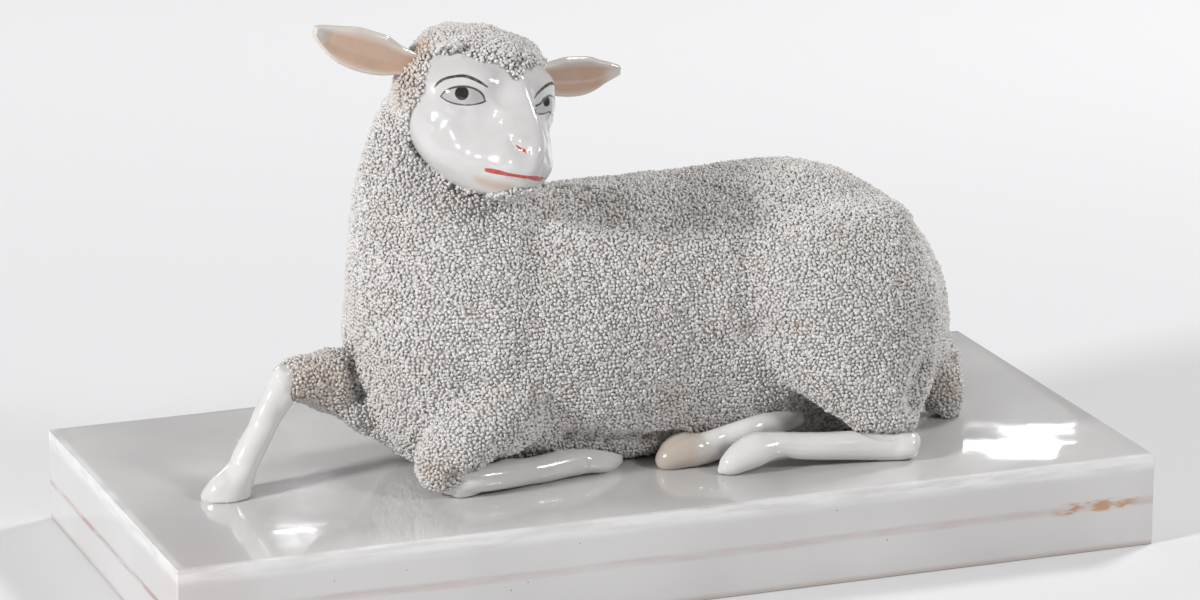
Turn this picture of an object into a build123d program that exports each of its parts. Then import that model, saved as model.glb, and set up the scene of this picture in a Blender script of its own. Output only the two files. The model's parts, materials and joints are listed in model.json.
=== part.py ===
"""Glazed earthenware sheep with a crumbed clay fleece, lying on a hollow slab plinth.

The frame is in millimetres with +Z up. The origin is the middle of the plinth's underside.
+X runs along the plinth from the chest towards the tail, and -Y is the side that the face looks to.
The animal's own left side is therefore the -Y side.
"""

import os
from math import cos, radians, sin

from build123d import *

# Plinth, built up from rolled slabs
plinth_length = 300.0
plinth_width = 140.0
plinth_height = 28.0
top_slab_thickness = 10.0
wall_thickness = 10.0
stay_thickness = 8.0
stay_spacing = 92.0
stay_setback = 2.0
plinth_corner_radius = 4.0
plinth_rim_radius = 2.5
plinth_foot_radius = 1.2

# Trunk, from the chest to the rump and from the plinth to the back
body_length = 190.0
body_height = 82.0
body_width = 80.0
chest_x = -78.0
neck_rise = 120.0
neck_length = 72.0
neck_width = 72.0
shell_wall = 7.0
vent_radius = 4.0
vent_x = 8.0

# Limbs and tail
upper_arm_radius = 12.0
reaching_arm_radius = 9.5
shank_radius = 4.2
hoof_length = 14.5
hoof_width = 11.5
tail_radius = 7.2

# Head: its middle is set back from the chest, turned to the near side and raised over the plinth
head_width = 46.0
head_depth = 62.0
head_height = 48.0
head_setback = 40.0
head_y = -5.0
head_rise = 108.5
head_yaw = 13.0
head_roll = 14.5
head_wall = 4.5
crown_fleece_thickness = 2.4
ear_length = 38.0
ear_width = 13.5
ear_thickness = 4.0
ear_dish_depth = 2.0
ear_lip = 1.0

# How far a cut runs past what it cuts
overrun = 5.0

# Rounded ends are drawn as sections at these angles up a quarter circle
dome_angles = [radians(step) for step in (32, 60, 80)]

# Trunk sections: place along, middle height, half width, half height
barrel_shares = [
    (0.158, 0.448, 0.438, 0.486),
    (0.316, 0.455, 0.475, 0.538),
    (0.474, 0.455, 0.463, 0.540),
    (0.611, 0.455, 0.456, 0.540),
    (0.747, 0.460, 0.475, 0.530),
]
barrel_tip_shares = [(0.0, 0.0, 0.463), (1.0, 0.0, 0.370)]

# Neck sections: height, middle along and across the body, half length, half width
neck_shares = [
    (0.150, 0.203, 0.000, 0.431, 0.444),
    (0.267, 0.200, 0.000, 0.489, 0.500),
    (0.400, 0.200, 0.000, 0.511, 0.507),
    (0.517, 0.192, 0.013, 0.479, 0.458),
    (0.617, 0.181, 0.031, 0.433, 0.389),
    (0.700, 0.176, 0.050, 0.394, 0.335),
    (0.767, 0.175, 0.069, 0.356, 0.271),
    (0.833, 0.179, 0.087, 0.319, 0.243),
    (0.900, 0.186, 0.094, 0.278, 0.222),
    (0.958, 0.195, 0.087, 0.229, 0.194),
]
neck_tip_shares = [(0.010, 0.205, 0.0), (1.010, 0.200, 0.085)]

# Thigh sections from the hip down: height, middle along, middle across, half length, half width
haunch_shares = [
    (0.720, 0.750, 0.306, 0.155, 0.237),
    (0.561, 0.753, 0.356, 0.171, 0.256),
    (0.402, 0.763, 0.394, 0.155, 0.237),
    (0.268, 0.779, 0.444, 0.121, 0.194),
    (0.171, 0.795, 0.500, 0.082, 0.138),
    (0.104, 0.803, 0.531, 0.055, 0.100),
]
haunch_tip_shares = [(0.770, 0.225, 0.915), (0.803, 0.530, 0.030)]

# Limb places along, across and up the trunk, each with its radius as a share of the limb's own
folded_arm_shares = [
    (0.279, -0.212, 0.366, 1.25),
    (0.216, -0.312, 0.305, 1.17),
    (0.155, -0.385, 0.226, 1.00),
    (0.105, -0.417, 0.146, 0.82),
]
folded_arm_tip_shares = [None, (0.058, -0.425, 0.049)]

folded_shank_shares = [
    (0.105, -0.412, 0.073, 1.17),
    (0.168, -0.406, 0.057, 1.05),
    (0.232, -0.392, 0.049, 0.95),
    (0.289, -0.368, 0.051, 1.00),
    (0.342, -0.338, 0.049, 0.98),
]
folded_shank_tip_shares = [None, (0.405, -0.300, 0.022)]

reaching_arm_shares = [
    (0.080, 0.040, 0.310, 1.05),
    (-0.011, 0.000, 0.335, 0.99),
    (-0.063, -0.050, 0.368, 0.86),
    (-0.092, -0.075, 0.383, 0.76),
]
reaching_arm_tip_shares = [None, (-0.126, -0.102, 0.398)]

reaching_shank_shares = [
    (-0.095, -0.075, 0.394, 1.19),
    (-0.121, -0.094, 0.329, 1.10),
    (-0.153, -0.115, 0.220, 0.95),
    (-0.179, -0.131, 0.128, 1.00),
]
reaching_shank_tip_shares = [(-0.079, -0.062, 0.445), (-0.196, -0.140, 0.065)]

# Standing hoof from the coronet down: place along, across and up, half length, half width
hoof_shares = [
    (-0.179, -0.131, 0.128, 0.290, 0.360),
    (-0.194, -0.139, 0.085, 0.390, 0.430),
    (-0.208, -0.146, 0.040, 0.480, 0.480),
    (-0.213, -0.149, 0.000, 0.500, 0.500),
]

near_hind_shares = [
    (0.826, -0.578, 0.056, 1.07),
    (0.753, -0.562, 0.065, 0.98),
    (0.679, -0.552, 0.073, 0.95),
    (0.621, -0.541, 0.085, 0.86),
    (0.587, -0.535, 0.073, 1.10),
    (0.558, -0.530, 0.046, 0.95),
]
near_hind_tip_shares = [(0.855, -0.583, 0.056), (0.529, -0.525, 0.012)]

far_hind_shares = [
    (0.737, -0.188, 0.059, 1.05),
    (0.663, -0.263, 0.055, 0.95),
    (0.589, -0.338, 0.050, 0.90),
    (0.547, -0.375, 0.049, 0.90),
    (0.511, -0.388, 0.056, 1.19),
    (0.479, -0.388, 0.044, 1.05),
]
far_hind_tip_shares = [(0.761, -0.163, 0.061), (0.447, -0.381, 0.018)]

tail_shares = [
    (0.942, -0.037, 0.366, 0.83),
    (0.968, -0.087, 0.268, 0.97),
    (0.976, -0.125, 0.171, 1.04),
    (0.974, -0.144, 0.085, 1.00),
]
tail_tip_shares = [None, (0.971, -0.150, -0.006)]

# Skull sections from the brow down: height, widest place, back, front, half width, and snout breadth
skull_shares = [
    (0.188, -0.056, -0.379, 0.282, 0.467, 0.66),
    (0.062, -0.048, -0.387, 0.395, 0.496, 0.54),
    (-0.052, -0.048, -0.379, 0.500, 0.496, 0.45),
    (-0.167, -0.032, -0.339, 0.589, 0.461, 0.45),
    (-0.271, 0.016, -0.290, 0.597, 0.420, 0.55),
    (-0.375, 0.065, -0.226, 0.524, 0.359, 0.64),
    (-0.440, 0.105, -0.150, 0.455, 0.290, 0.66),
]
skull_tip_shares = [(0.460, -0.065), (-0.505, 0.145)]
# Where a skull section is drawn between its widest place and its front or back
quarter_share = 0.72

# Bare face: where it starts behind the cheeks, and its hairline across and up
face_start_share = -0.075
hairline_shares = [
    (-0.80, 0.260),
    (-0.42, 0.285),
    (-0.26, 0.310),
    (-0.11, 0.285),
    (0.00, 0.200),
    (0.11, 0.285),
    (0.18, 0.315),
    (0.35, 0.260),
    (0.80, 0.200),
]

# Ear root across, forwards and up from the middle of the skull, and the way that each ear points
ear_root_shares = (0.440, -0.055, 0.170)
ear_way_shares = {"left": (0.945, -0.293, 0.170), "right": (0.945, -0.293, 0.115)}
# Ear sections from root to tip: place along the ear, half width, half thickness
ear_shares = [
    (0.000, 0.330, 0.500),
    (0.240, 0.440, 0.500),
    (0.480, 0.500, 0.480),
    (0.720, 0.410, 0.400),
    (0.930, 0.190, 0.240),
    (1.000, 0.060, 0.120),
]

hollow_width = plinth_width - 2 * wall_thickness
wall_height = plinth_height - top_slab_thickness
plinth_top = Plane.XY.offset(plinth_height)
wall_top = Plane.XY.offset(wall_height)

yaw, roll = radians(head_yaw), radians(head_roll)
level_across = Vector(cos(yaw), sin(yaw), 0)
head_across = level_across * cos(roll) - Vector(0, 0, 1) * sin(roll)
head_up = level_across * sin(roll) + Vector(0, 0, 1) * cos(roll)
head_middle = Vector(chest_x + head_setback, head_y, plinth_height + head_rise)
head_frame = Plane(head_middle, x_dir=head_across, z_dir=head_up)


def place(along_share, across_share, up_share):
    """Point of the animal from shares of its length, its width and its height over the plinth."""
    return Vector(
        chest_x + along_share * body_length,
        across_share * body_width,
        plinth_height + up_share * body_height,
    )


def in_head(across, forwards, up):
    """Point given across, forwards and up from the middle of the skull."""
    return Vector(*head_frame.from_local_coords((across, -forwards, up)))


def dome(section, tip, inset=0.0):
    """Sections that round a form off from its last ellipse to a tip, which the inset draws in."""
    plane, half_x, half_y = section
    reach = tip - plane.origin
    reach = reach * (1 - inset / reach.length)
    rounded = []
    for angle in dome_angles:
        at = Plane(plane.origin + reach * sin(angle), x_dir=plane.x_dir, z_dir=plane.z_dir)
        rounded.append((at, half_x * cos(angle), half_y * cos(angle)))
    return rounded


def lofted(sections):
    """Smooth solid through ellipses, each given as its plane, half x and half y."""
    with BuildPart() as form:
        for plane, half_x, half_y in sections:
            with BuildSketch(plane):
                Ellipse(half_x, half_y)
        loft()
    return form.part


def domed(sections, start, end, inset=0.0):
    """Smooth solid through ellipses, rounded off at each end that has a tip."""
    before = dome(sections[0], start, inset)[::-1] if start else []
    after = dome(sections[-1], end, inset) if end else []
    return lofted(before + sections + after)


def limb(stations, tips, radius):
    """Leg or tail from its table of places, with each section square to the line of the limb."""
    points = [place(*station[:3]) for station in stations]
    start, end = (place(*tip) if tip else None for tip in tips)
    line = [start or points[0]] + points + [end or points[-1]]
    sections = []
    for index, (*_, radius_share) in enumerate(stations, start=1):
        along = line[index + 1] - line[index - 1]
        plane = Plane(line[index], x_dir=Axis.Y.direction.cross(along), z_dir=along)
        sections.append((plane, radius_share * radius, radius_share * radius))
    return domed(sections, start, end)


def barrel(inset):
    """Trunk from chest to rump, taken in by the inset on every side."""
    sections = []
    for along, up, half_width, half_height in barrel_shares:
        plane = Plane(place(along, 0, up), x_dir=(0, 1, 0), z_dir=(1, 0, 0))
        sections.append((plane, half_width * body_width - inset, half_height * body_height - inset))
    return domed(sections, *(place(*tip) for tip in barrel_tip_shares), inset)


def neck_place(up_share, along_share, across_share):
    """Point of the neck from shares of its rise and of the trunk's length and width."""
    level = place(along_share, across_share, 0)
    return level + Vector(0, 0, up_share * neck_rise)


def neck(inset):
    """Breast and neck, from inside the trunk up into the skull."""
    sections = []
    for *at, half_length, half_width in neck_shares:
        plane = Plane(neck_place(*at))
        sections.append((plane, half_length * neck_length - inset, half_width * neck_width - inset))
    return domed(sections, *(neck_place(*tip) for tip in neck_tip_shares), inset)


def haunch(side):
    """Thigh from the hip down to the hock: side is -1 for the near one and 1 for the far one."""
    sections = []
    for up, along, across, half_length, half_width in haunch_shares:
        plane = Plane(place(along, side * across, up))
        sections.append((plane, half_length * body_length, half_width * body_width))
    tips = [place(along, side * across, up) for along, across, up in haunch_tip_shares]
    return domed(sections, *tips)


def trunk():
    """Trunk, neck and both thighs as one form, cut flat where it sits on the plinth."""
    with BuildPart() as form:
        add(barrel(0.0))
        add(neck(0.0))
        for side in (-1, 1):
            add(haunch(side))
        split(bisect_by=plinth_top, keep=Keep.TOP)
    return form.part


def egg_points(widest, back, front, half_width, snout_share):
    """Points around a section of the head, blunt behind and narrow at the snout, from the front."""
    cheek = widest + quarter_share * (front - widest)
    nape = widest - quarter_share * (widest - back)
    snout, temple = snout_share * half_width, quarter_share * half_width
    one_side = [(snout, -cheek), (half_width, -widest), (temple, -nape)]
    other_side = [(-across, behind) for across, behind in reversed(one_side)]
    return [(0, -front), *one_side, (0, -back), *other_side]


def skull(inset):
    """Head from crown to chin, taken in by the inset."""
    rows = []
    for up, widest, back, front, half_width, snout_share in skull_shares:
        lengths = [share * head_depth for share in (widest, back, front)]
        lengths[1] += inset
        lengths[2] -= inset
        rows.append((up * head_height, *lengths, half_width * head_width - inset, snout_share))
    ends = []
    for (tip_up, tip_forwards), sign, row in zip(skull_tip_shares, (-1, 1), (rows[0], rows[-1])):
        rise = tip_up * head_height + sign * inset - row[0]
        end = []
        for angle in dome_angles:
            middle = row[1] + (tip_forwards * head_depth - row[1]) * sin(angle)
            back, front = (middle + (reach - row[1]) * cos(angle) for reach in row[2:4])
            end.append((row[0] + rise * sin(angle), middle, back, front, row[4] * cos(angle), row[5]))
        ends.append(end)
    with BuildPart() as form:
        for up, *egg in ends[0][::-1] + rows + ends[1]:
            with BuildSketch(head_frame.offset(up)):
                with BuildLine():
                    Spline(*egg_points(*egg), periodic=True)
                make_face()
        loft()
    return form.part


def face_window():
    """Space in front of the bare face, with the hairline and its forelock as the upper edge."""
    start = face_start_share * head_depth
    hairline = [(across * head_width, up * head_height) for across, up in hairline_shares]
    floor = -head_height
    corners = [(hairline[0][0], floor), *hairline, (hairline[-1][0], floor)]
    plane = Plane(in_head(0, start, 0), x_dir=head_across, z_dir=-head_frame.y_dir)
    with BuildPart() as window:
        with BuildSketch(plane):
            with BuildLine():
                Polyline(*corners, close=True)
            make_face()
        extrude(amount=head_depth)
    return window.part


def ear(name, side):
    """Leaf-shaped ear with a dished front: side is -1 for the animal's right ear and 1 for its left."""
    across, forwards, up = ear_root_shares
    root = in_head(side * across * head_width, forwards * head_depth, up * head_height)
    across, forwards, up = ear_way_shares[name]
    along = (in_head(side * across, forwards, up) - head_frame.origin).normalized()
    width_way = along.cross(-head_frame.y_dir).normalized()
    front = width_way.cross(along)
    leaf, dish = [], []
    for along_share, half_width_share, half_thickness_share in ear_shares:
        at = root + along * ear_length * along_share
        half_width = half_width_share * ear_width
        half_thickness = half_thickness_share * ear_thickness
        leaf.append((Plane(at, x_dir=width_way, z_dir=along), half_width, half_thickness))
        brim = Plane(at + front * half_thickness, x_dir=width_way, z_dir=along)
        dish.append((brim, half_width - ear_lip, 2 * half_thickness_share * ear_dish_depth))
    with BuildPart() as form:
        add(lofted(leaf))
        add(lofted(dish[1:-2]), mode=Mode.SUBTRACT)
    return form.part


def standing_hoof():
    """Upright hoof of the reaching foreleg, spreading to a flat sole on the plinth."""
    sections = []
    for along, across, up, half_length, half_width in hoof_shares:
        plane = Plane(place(along, across, up))
        sections.append((plane, half_length * hoof_length, half_width * hoof_width))
    return lofted(sections)


def plinth_block():
    """Whole outline of the plinth with its soft arrises, from which the slabs are cut."""
    with BuildPart() as block:
        with BuildSketch():
            RectangleRounded(plinth_length, plinth_width, plinth_corner_radius)
        extrude(amount=plinth_height)
        fillet(block.faces().sort_by(Axis.Z)[-1].edges(), plinth_rim_radius)
        fillet(block.faces().sort_by(Axis.Z)[0].edges(), plinth_foot_radius)
    return block.part


def hollow():
    """Space inside the trunk and neck, with a floor of the shell's own thickness."""
    with BuildPart() as form:
        add(barrel(shell_wall))
        add(neck(shell_wall))
        split(bisect_by=plinth_top.offset(shell_wall), keep=Keep.TOP)
    return form.part


def vent_core():
    """Round core of the kiln vent, from inside the plinth up into the hollow trunk."""
    below = top_slab_thickness + overrun
    above = shell_wall + overrun
    with BuildPart() as core:
        with BuildSketch(plinth_top.offset(-below)):
            with Locations((vent_x, 0)):
                Circle(vent_radius)
        extrude(amount=below + above)
    return core.part


def cut(form, *cutters):
    """The form less its cutters, standing on the plinth."""
    with BuildPart() as piece:
        add(form)
        for cutter in cutters:
            add(cutter, mode=Mode.SUBTRACT)
        split(bisect_by=plinth_top, keep=Keep.TOP)
    return piece.part


def joined(*forms):
    """One form made of several that grow together."""
    with BuildPart() as whole:
        for form in forms:
            add(form)
    return whole.part


# Forms that the pieces are cut from
trunk_form = trunk()
trunk_hollow = hollow()
vent = vent_core()
head_form = skull(0.0)
ears = {"left": ear("left", 1), "right": ear("right", -1)}
folded_arm = limb(folded_arm_shares, folded_arm_tip_shares, upper_arm_radius)
folded_shank = limb(folded_shank_shares, folded_shank_tip_shares, shank_radius)
reaching_arm = limb(reaching_arm_shares, reaching_arm_tip_shares, reaching_arm_radius)
reaching_leg = limb(reaching_shank_shares, reaching_shank_tip_shares, shank_radius)
reaching_shank = joined(reaching_leg, standing_hoof())
near_hind = limb(near_hind_shares, near_hind_tip_shares, shank_radius)
far_hind = limb(far_hind_shares, far_hind_tip_shares, shank_radius)
tail_form = limb(tail_shares, tail_tip_shares, tail_radius)

pieces = []


def keep_piece(part, name):
    """Labels a finished piece and puts it on the list of pieces to write."""
    part.label = name
    pieces.append(part)


# Top slab of the plinth, with the kiln vent
block = plinth_block()
with BuildPart() as plinth_top_slab:
    add(block)
    split(bisect_by=wall_top, keep=Keep.TOP)
    add(vent, mode=Mode.SUBTRACT)
keep_piece(plinth_top_slab.part, "plinth_top_slab")

# Long walls run the whole length, and the end walls stand between them
for name, side in (("front", -1), ("back", 1)):
    with BuildPart() as long_wall:
        add(block)
        split(bisect_by=wall_top, keep=Keep.BOTTOM)
        with Locations((0, side * (plinth_width - wall_thickness) / 2, wall_height / 2)):
            Box(plinth_length, wall_thickness, wall_height, mode=Mode.INTERSECT)
    keep_piece(long_wall.part, f"plinth_{name}_wall")

for name, side in (("chest", -1), ("tail", 1)):
    with BuildPart() as end_wall:
        add(block)
        split(bisect_by=wall_top, keep=Keep.BOTTOM)
        with Locations((side * (plinth_length - wall_thickness) / 2, 0, wall_height / 2)):
            Box(wall_thickness, hollow_width, wall_height, mode=Mode.INTERSECT)
    keep_piece(end_wall.part, f"plinth_{name}_end_wall")

# Two stays under the top slab, which stop it sagging in the kiln
for name, side in (("chest", -1), ("tail", 1)):
    with BuildPart() as stay:
        with BuildSketch(Plane.XY.offset(stay_setback)):
            with Locations((side * stay_spacing / 2, 0)):
                Rectangle(stay_thickness, hollow_width)
        extrude(amount=wall_height - stay_setback)
    keep_piece(stay.part, f"plinth_{name}_stay")

# Trunk, press-moulded in two halves that are luted along the middle
for name, kept in (("left", Keep.TOP), ("right", Keep.BOTTOM)):
    with BuildPart() as body_half:
        add(trunk_form)
        split(bisect_by=Plane.XZ, keep=kept)
        for cutter in (trunk_hollow, head_form, vent):
            add(cutter, mode=Mode.SUBTRACT)
    keep_piece(body_half.part, f"body_{name}_half")

# Head, hollow down into the neck, with its ears and the fleece of the crown
keep_piece(cut(head_form, skull(head_wall), trunk_hollow), "head")
for name, form in ears.items():
    keep_piece(cut(form, head_form), f"{name}_ear")
crown = skull(-crown_fleece_thickness)
keep_piece(cut(crown, head_form, face_window(), trunk_form, *ears.values()), "crown_fleece")

# Legs and tail, each luted to what carries it and cut flat on the plinth
keep_piece(cut(folded_arm, trunk_form), "left_forearm")
keep_piece(cut(folded_shank, folded_arm, trunk_form), "left_fore_shank")
keep_piece(cut(reaching_arm, trunk_form), "right_forearm")
keep_piece(cut(reaching_shank, reaching_arm, trunk_form), "right_fore_shank")
keep_piece(cut(near_hind, trunk_form), "left_hind_shank")
keep_piece(cut(far_hind, trunk_form), "right_hind_shank")
keep_piece(cut(tail_form, trunk_form), "tail")

os.makedirs("parts", exist_ok=True)
for piece in pieces:
    sizes = [round(solid.volume) for solid in piece.solids()]
    print(piece.label, sizes)
    export_step(piece, f"parts/{piece.label}.step")
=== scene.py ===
# %% [markdown]
# This lesson dresses a glazed earthenware sheep with a crumbed fleece, which lies on a hollow slab plinth.
# The solids of the construction are loaded first, as a fixed frame in metres with +Z up, and stay where
# they are. Each step then models one visible piece over its solid, and says which solid it stands for.

# %% Load the frame
import json
import math

import bpy
import numpy as np
from mathutils import Matrix, Vector
from mathutils.kdtree import KDTree

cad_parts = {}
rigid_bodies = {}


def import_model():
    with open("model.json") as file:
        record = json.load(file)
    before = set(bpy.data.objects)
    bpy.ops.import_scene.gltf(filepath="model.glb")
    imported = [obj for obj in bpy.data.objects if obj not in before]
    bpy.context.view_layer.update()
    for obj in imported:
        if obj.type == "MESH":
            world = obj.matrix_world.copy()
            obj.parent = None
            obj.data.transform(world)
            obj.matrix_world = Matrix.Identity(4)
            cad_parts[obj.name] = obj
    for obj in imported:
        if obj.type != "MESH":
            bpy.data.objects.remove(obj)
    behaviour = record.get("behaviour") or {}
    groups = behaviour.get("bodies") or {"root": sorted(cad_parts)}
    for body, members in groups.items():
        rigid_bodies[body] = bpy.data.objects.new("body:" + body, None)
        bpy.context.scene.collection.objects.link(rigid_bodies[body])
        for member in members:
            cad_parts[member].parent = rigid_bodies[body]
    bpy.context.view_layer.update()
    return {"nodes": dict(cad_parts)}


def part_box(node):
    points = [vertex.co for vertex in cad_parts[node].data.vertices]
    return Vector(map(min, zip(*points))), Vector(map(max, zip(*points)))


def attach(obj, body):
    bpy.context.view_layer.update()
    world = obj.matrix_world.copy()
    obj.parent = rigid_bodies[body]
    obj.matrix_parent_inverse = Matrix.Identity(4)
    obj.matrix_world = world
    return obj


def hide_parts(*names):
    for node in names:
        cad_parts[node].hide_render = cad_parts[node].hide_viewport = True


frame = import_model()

# %% [markdown]
# By hand, one clicks a thing before an operator works on it. In a script the same care is a few short
# helpers: pick one object alone, run a modifier and apply it, join objects, and settle a finished piece on
# its body. Sizes below are written in millimetres times MM, because the frame is in metres.

# %% Helpers for objects
MM = 0.001


def deselect():
    """Lets go of every object."""
    bpy.ops.object.select_all(action="DESELECT")


def only(piece):
    """Selects one object alone and makes it the active one."""
    deselect()
    piece.select_set(True)
    bpy.context.view_layer.objects.active = piece


def join_to(piece, others):
    """Joins other objects to a piece."""
    only(piece)
    for other in others:
        other.select_set(True)
    bpy.ops.object.join()


def shaped_by(piece, kind, **settings):
    """Adds a modifier with its settings and applies it."""
    only(piece)
    modifier = piece.modifiers.new(kind.title(), kind)
    for setting, value in settings.items():
        setattr(modifier, setting, value)
    bpy.ops.object.modifier_apply(modifier=modifier.name)


def smooth_shaded(piece):
    """Shades a piece as one round skin."""
    only(piece)
    bpy.ops.object.shade_smooth()


def twin_of(piece, name):
    """A copy of a piece with a mesh of its own."""
    twin = piece.copy()
    twin.data = piece.data.copy()
    twin.name = name
    bpy.context.collection.objects.link(twin)
    return twin


def settle(piece, slot, *nodes):
    """Puts a finished piece on the fixed body, in place of the solids it stands for. The slot is not used."""
    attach(piece, "root")
    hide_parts(*nodes)
    print(piece.name, len(piece.data.polygons), "faces for", nodes)


# %% Helpers for meshes
def leave_edit():
    """Goes back from edit mode to object mode."""
    bpy.ops.object.mode_set(mode="OBJECT")


def edit_all(piece):
    """Goes into edit mode with the whole mesh selected."""
    only(piece)
    bpy.ops.object.mode_set(mode="EDIT")
    bpy.ops.mesh.select_all(action="SELECT")


def pick_vertices(piece, chosen):
    """Selects the chosen vertices alone and goes into edit mode."""
    only(piece)
    bpy.ops.object.mode_set(mode="EDIT")
    bpy.ops.mesh.select_mode(type="VERT")
    bpy.ops.mesh.select_all(action="DESELECT")
    leave_edit()
    flags = np.zeros(len(piece.data.vertices), dtype=bool)
    flags[chosen] = True
    piece.data.vertices.foreach_set("select", flags)
    bpy.ops.object.mode_set(mode="EDIT")


def pick_faces(piece, test):
    """Selects the faces whose centre and normal pass the test, and goes into edit mode."""
    pick_vertices(piece, [])
    bpy.ops.mesh.select_mode(type="FACE")
    leave_edit()
    for polygon in piece.data.polygons:
        polygon.select = test(polygon.center, polygon.normal)
    bpy.ops.object.mode_set(mode="EDIT")


def rows_of(elements, what):
    """A property of all vertices or faces, such as their places, as rows of three numbers."""
    numbers = np.empty(3 * len(elements))
    elements.foreach_get(what, numbers)
    return numbers.reshape(-1, 3)


def places_of(piece):
    """The vertices of a mesh as rows of numbers."""
    return rows_of(piece.data.vertices, "co")


def normals_of(piece):
    """The normals at the vertices of a mesh as rows of numbers."""
    return rows_of(piece.data.vertex_normals, "vector")


def lengths(rows):
    """The length of each row of numbers."""
    return np.linalg.norm(rows, axis=1)


# %% [markdown]
# The camera stands a metre and a half away with a long lens, a little to the left and above, as for a
# catalogue picture. It is given by two angles, a distance and the point that it looks at. The same numbers
# turn a pixel of the 1200 x 600 picture into a ray, which later places the painted strokes.

# %% Camera
view_azimuth = math.radians(-20.673)
view_elevation = math.radians(15.947)
view_distance = 1498.8 * MM
view_target = Vector((0.96, 0, 71.8)) * MM
lens_mm = 151.99
sensor_mm = 36.0
picture_px = (1200, 600)

view_right = Vector((math.cos(view_azimuth), math.sin(view_azimuth), 0))
view_back = Vector((math.sin(view_azimuth), -math.cos(view_azimuth), 0)) * math.cos(view_elevation)
view_back.z = math.sin(view_elevation)
view_up = view_back.cross(view_right)
view_point = view_target + view_distance * view_back

bpy.ops.object.camera_add(location=view_point, rotation=view_back.to_track_quat("Z", "Y").to_euler())
camera = bpy.context.object
camera.data.lens = lens_mm
camera.data.sensor_width = sensor_mm
bpy.context.scene.camera = camera
bpy.context.scene.view_settings.view_transform = "Standard"


def photo_ray(x_px, y_px):
    """Direction from the camera through a pixel of the picture."""
    pixel = sensor_mm / lens_mm / picture_px[0]
    across = (x_px - picture_px[0] / 2) * pixel
    upward = (picture_px[1] / 2 - y_px) * pixel
    return (view_right * across + view_up * upward - view_back).normalized()


def to_pixels(places):
    """Where the picture shows some places."""
    apart = places - np.array(view_point)
    scale = picture_px[0] * lens_mm / sensor_mm / -(apart @ np.array(view_back))
    across = picture_px[0] / 2 + scale * (apart @ np.array(view_right))
    down = picture_px[1] / 2 - scale * (apart @ np.array(view_up))
    return np.stack([across, down], axis=1)


print("camera at", [round(1000 * x) for x in view_point], "mm")

# %% [markdown]
# The studio is a pale sweep under five soft lamps: one at each side, a weak one overhead, one behind and a
# fill near the camera. Six small lamps stand low behind, where the glossy top of the plinth mirrors them
# towards the camera as thin bright marks. All are weak enough that a colour comes out about as it is
# written.

# %% Floor and lamps
bpy.ops.mesh.primitive_plane_add(size=8.0)
floor = bpy.context.object
floor.name = "floor"


def lamp(name, place_mm, aim_mm, width_mm, height_mm, watts):
    """A soft rectangular lamp that faces its aim."""
    place, aim = Vector(place_mm) * MM, Vector(aim_mm) * MM
    turn = (place - aim).to_track_quat("Z", "Y").to_euler()
    bpy.ops.object.light_add(type="AREA", location=place, rotation=turn)
    light = bpy.context.object
    light.name = name
    light.data.shape = "RECTANGLE"
    light.data.size = width_mm * MM
    light.data.size_y = height_mm * MM
    light.data.energy = watts


lamp_aim_mm = (0, 0, 90)
lamp("left_softbox", (-1250, -350, 650), lamp_aim_mm, 170, 170, 16.3)
lamp("right_softbox", (1090, 480, 1120), lamp_aim_mm, 320, 320, 11.5)
lamp("top_softbox", (0, 300, 1500), lamp_aim_mm, 1200, 900, 0.8)
lamp("back_softbox", (-350, 1250, 800), lamp_aim_mm, 500, 400, 3.2)
lamp("camera_fill", (750, -1000, 850), lamp_aim_mm, 260, 260, 7.3)

# %% Lamps that the plinth mirrors
plinth_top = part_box("plinth_top_slab")[1].z
glint_distance = 2.0
# Pixel where the plinth shows the lamp, its width and height in millimetres, and its watts
glints = {
    "left_glint_upper": (303, 534, 20, 2, 0.0030),
    "left_glint_middle": (293, 540, 28, 2, 0.0042),
    "left_glint_lower": (286, 546, 14, 1.5, 0.0015),
    "left_glint_thin": (300, 515, 36, 1.5, 0.0028),
    "right_glint": (1012, 448, 62, 11, 0.034),
    "right_glint_thin": (1050, 436, 34, 3, 0.006),
}
for name, (x_px, y_px, *size_and_watts) in glints.items():
    ray = photo_ray(x_px, y_px)
    touch = view_point + ray * ((plinth_top - view_point.z) / ray.z)
    place = touch + glint_distance * Vector((ray.x, ray.y, -ray.z))
    lamp(name, place / MM, touch / MM, *size_and_watts)

world = bpy.data.worlds.new("studio")
bpy.context.scene.world = world
world.use_nodes = True
world.node_tree.nodes["Background"].inputs["Color"].default_value = (0.93, 0.93, 0.94, 1)
world.node_tree.nodes["Background"].inputs["Strength"].default_value = 0.26
print("lamps:", len(bpy.data.lights))

# %% [markdown]
# A material is a small graph. Its nodes are added and fed by a few helpers, each for one kind of step.
# Values that spread over the surface come from noise in the object's own coordinates, which are the
# frame's, or from numbers that were painted on the vertices.

# %% Node helpers
def new_material(name):
    """An empty node material: returns it with its tree and its Principled shader."""
    material = bpy.data.materials.new(name)
    material.use_nodes = True
    tree = material.node_tree
    return material, tree, tree.nodes["Principled BSDF"]


def feed(tree, made, inputs):
    """Sets inputs of a node by name or number: a socket is linked, any other value is written in."""
    for socket, value in inputs.items():
        if isinstance(value, bpy.types.NodeSocket):
            tree.links.new(value, made.inputs[socket])
        else:
            made.inputs[socket].default_value = value


def node(tree, kind, inputs=None, **settings):
    """Adds a node, with settings as attributes, and feeds its inputs."""
    made = tree.nodes.new(kind)
    for setting, value in settings.items():
        setattr(made, setting, value)
    feed(tree, made, inputs or {})
    return made


def mix_colour(tree, share, first, second):
    """Mixes two colours by a share. The node's sockets share their names, so they go by number."""
    return node(tree, "ShaderNodeMix", {0: share, 6: first, 7: second}, data_type="RGBA").outputs[2]


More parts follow.
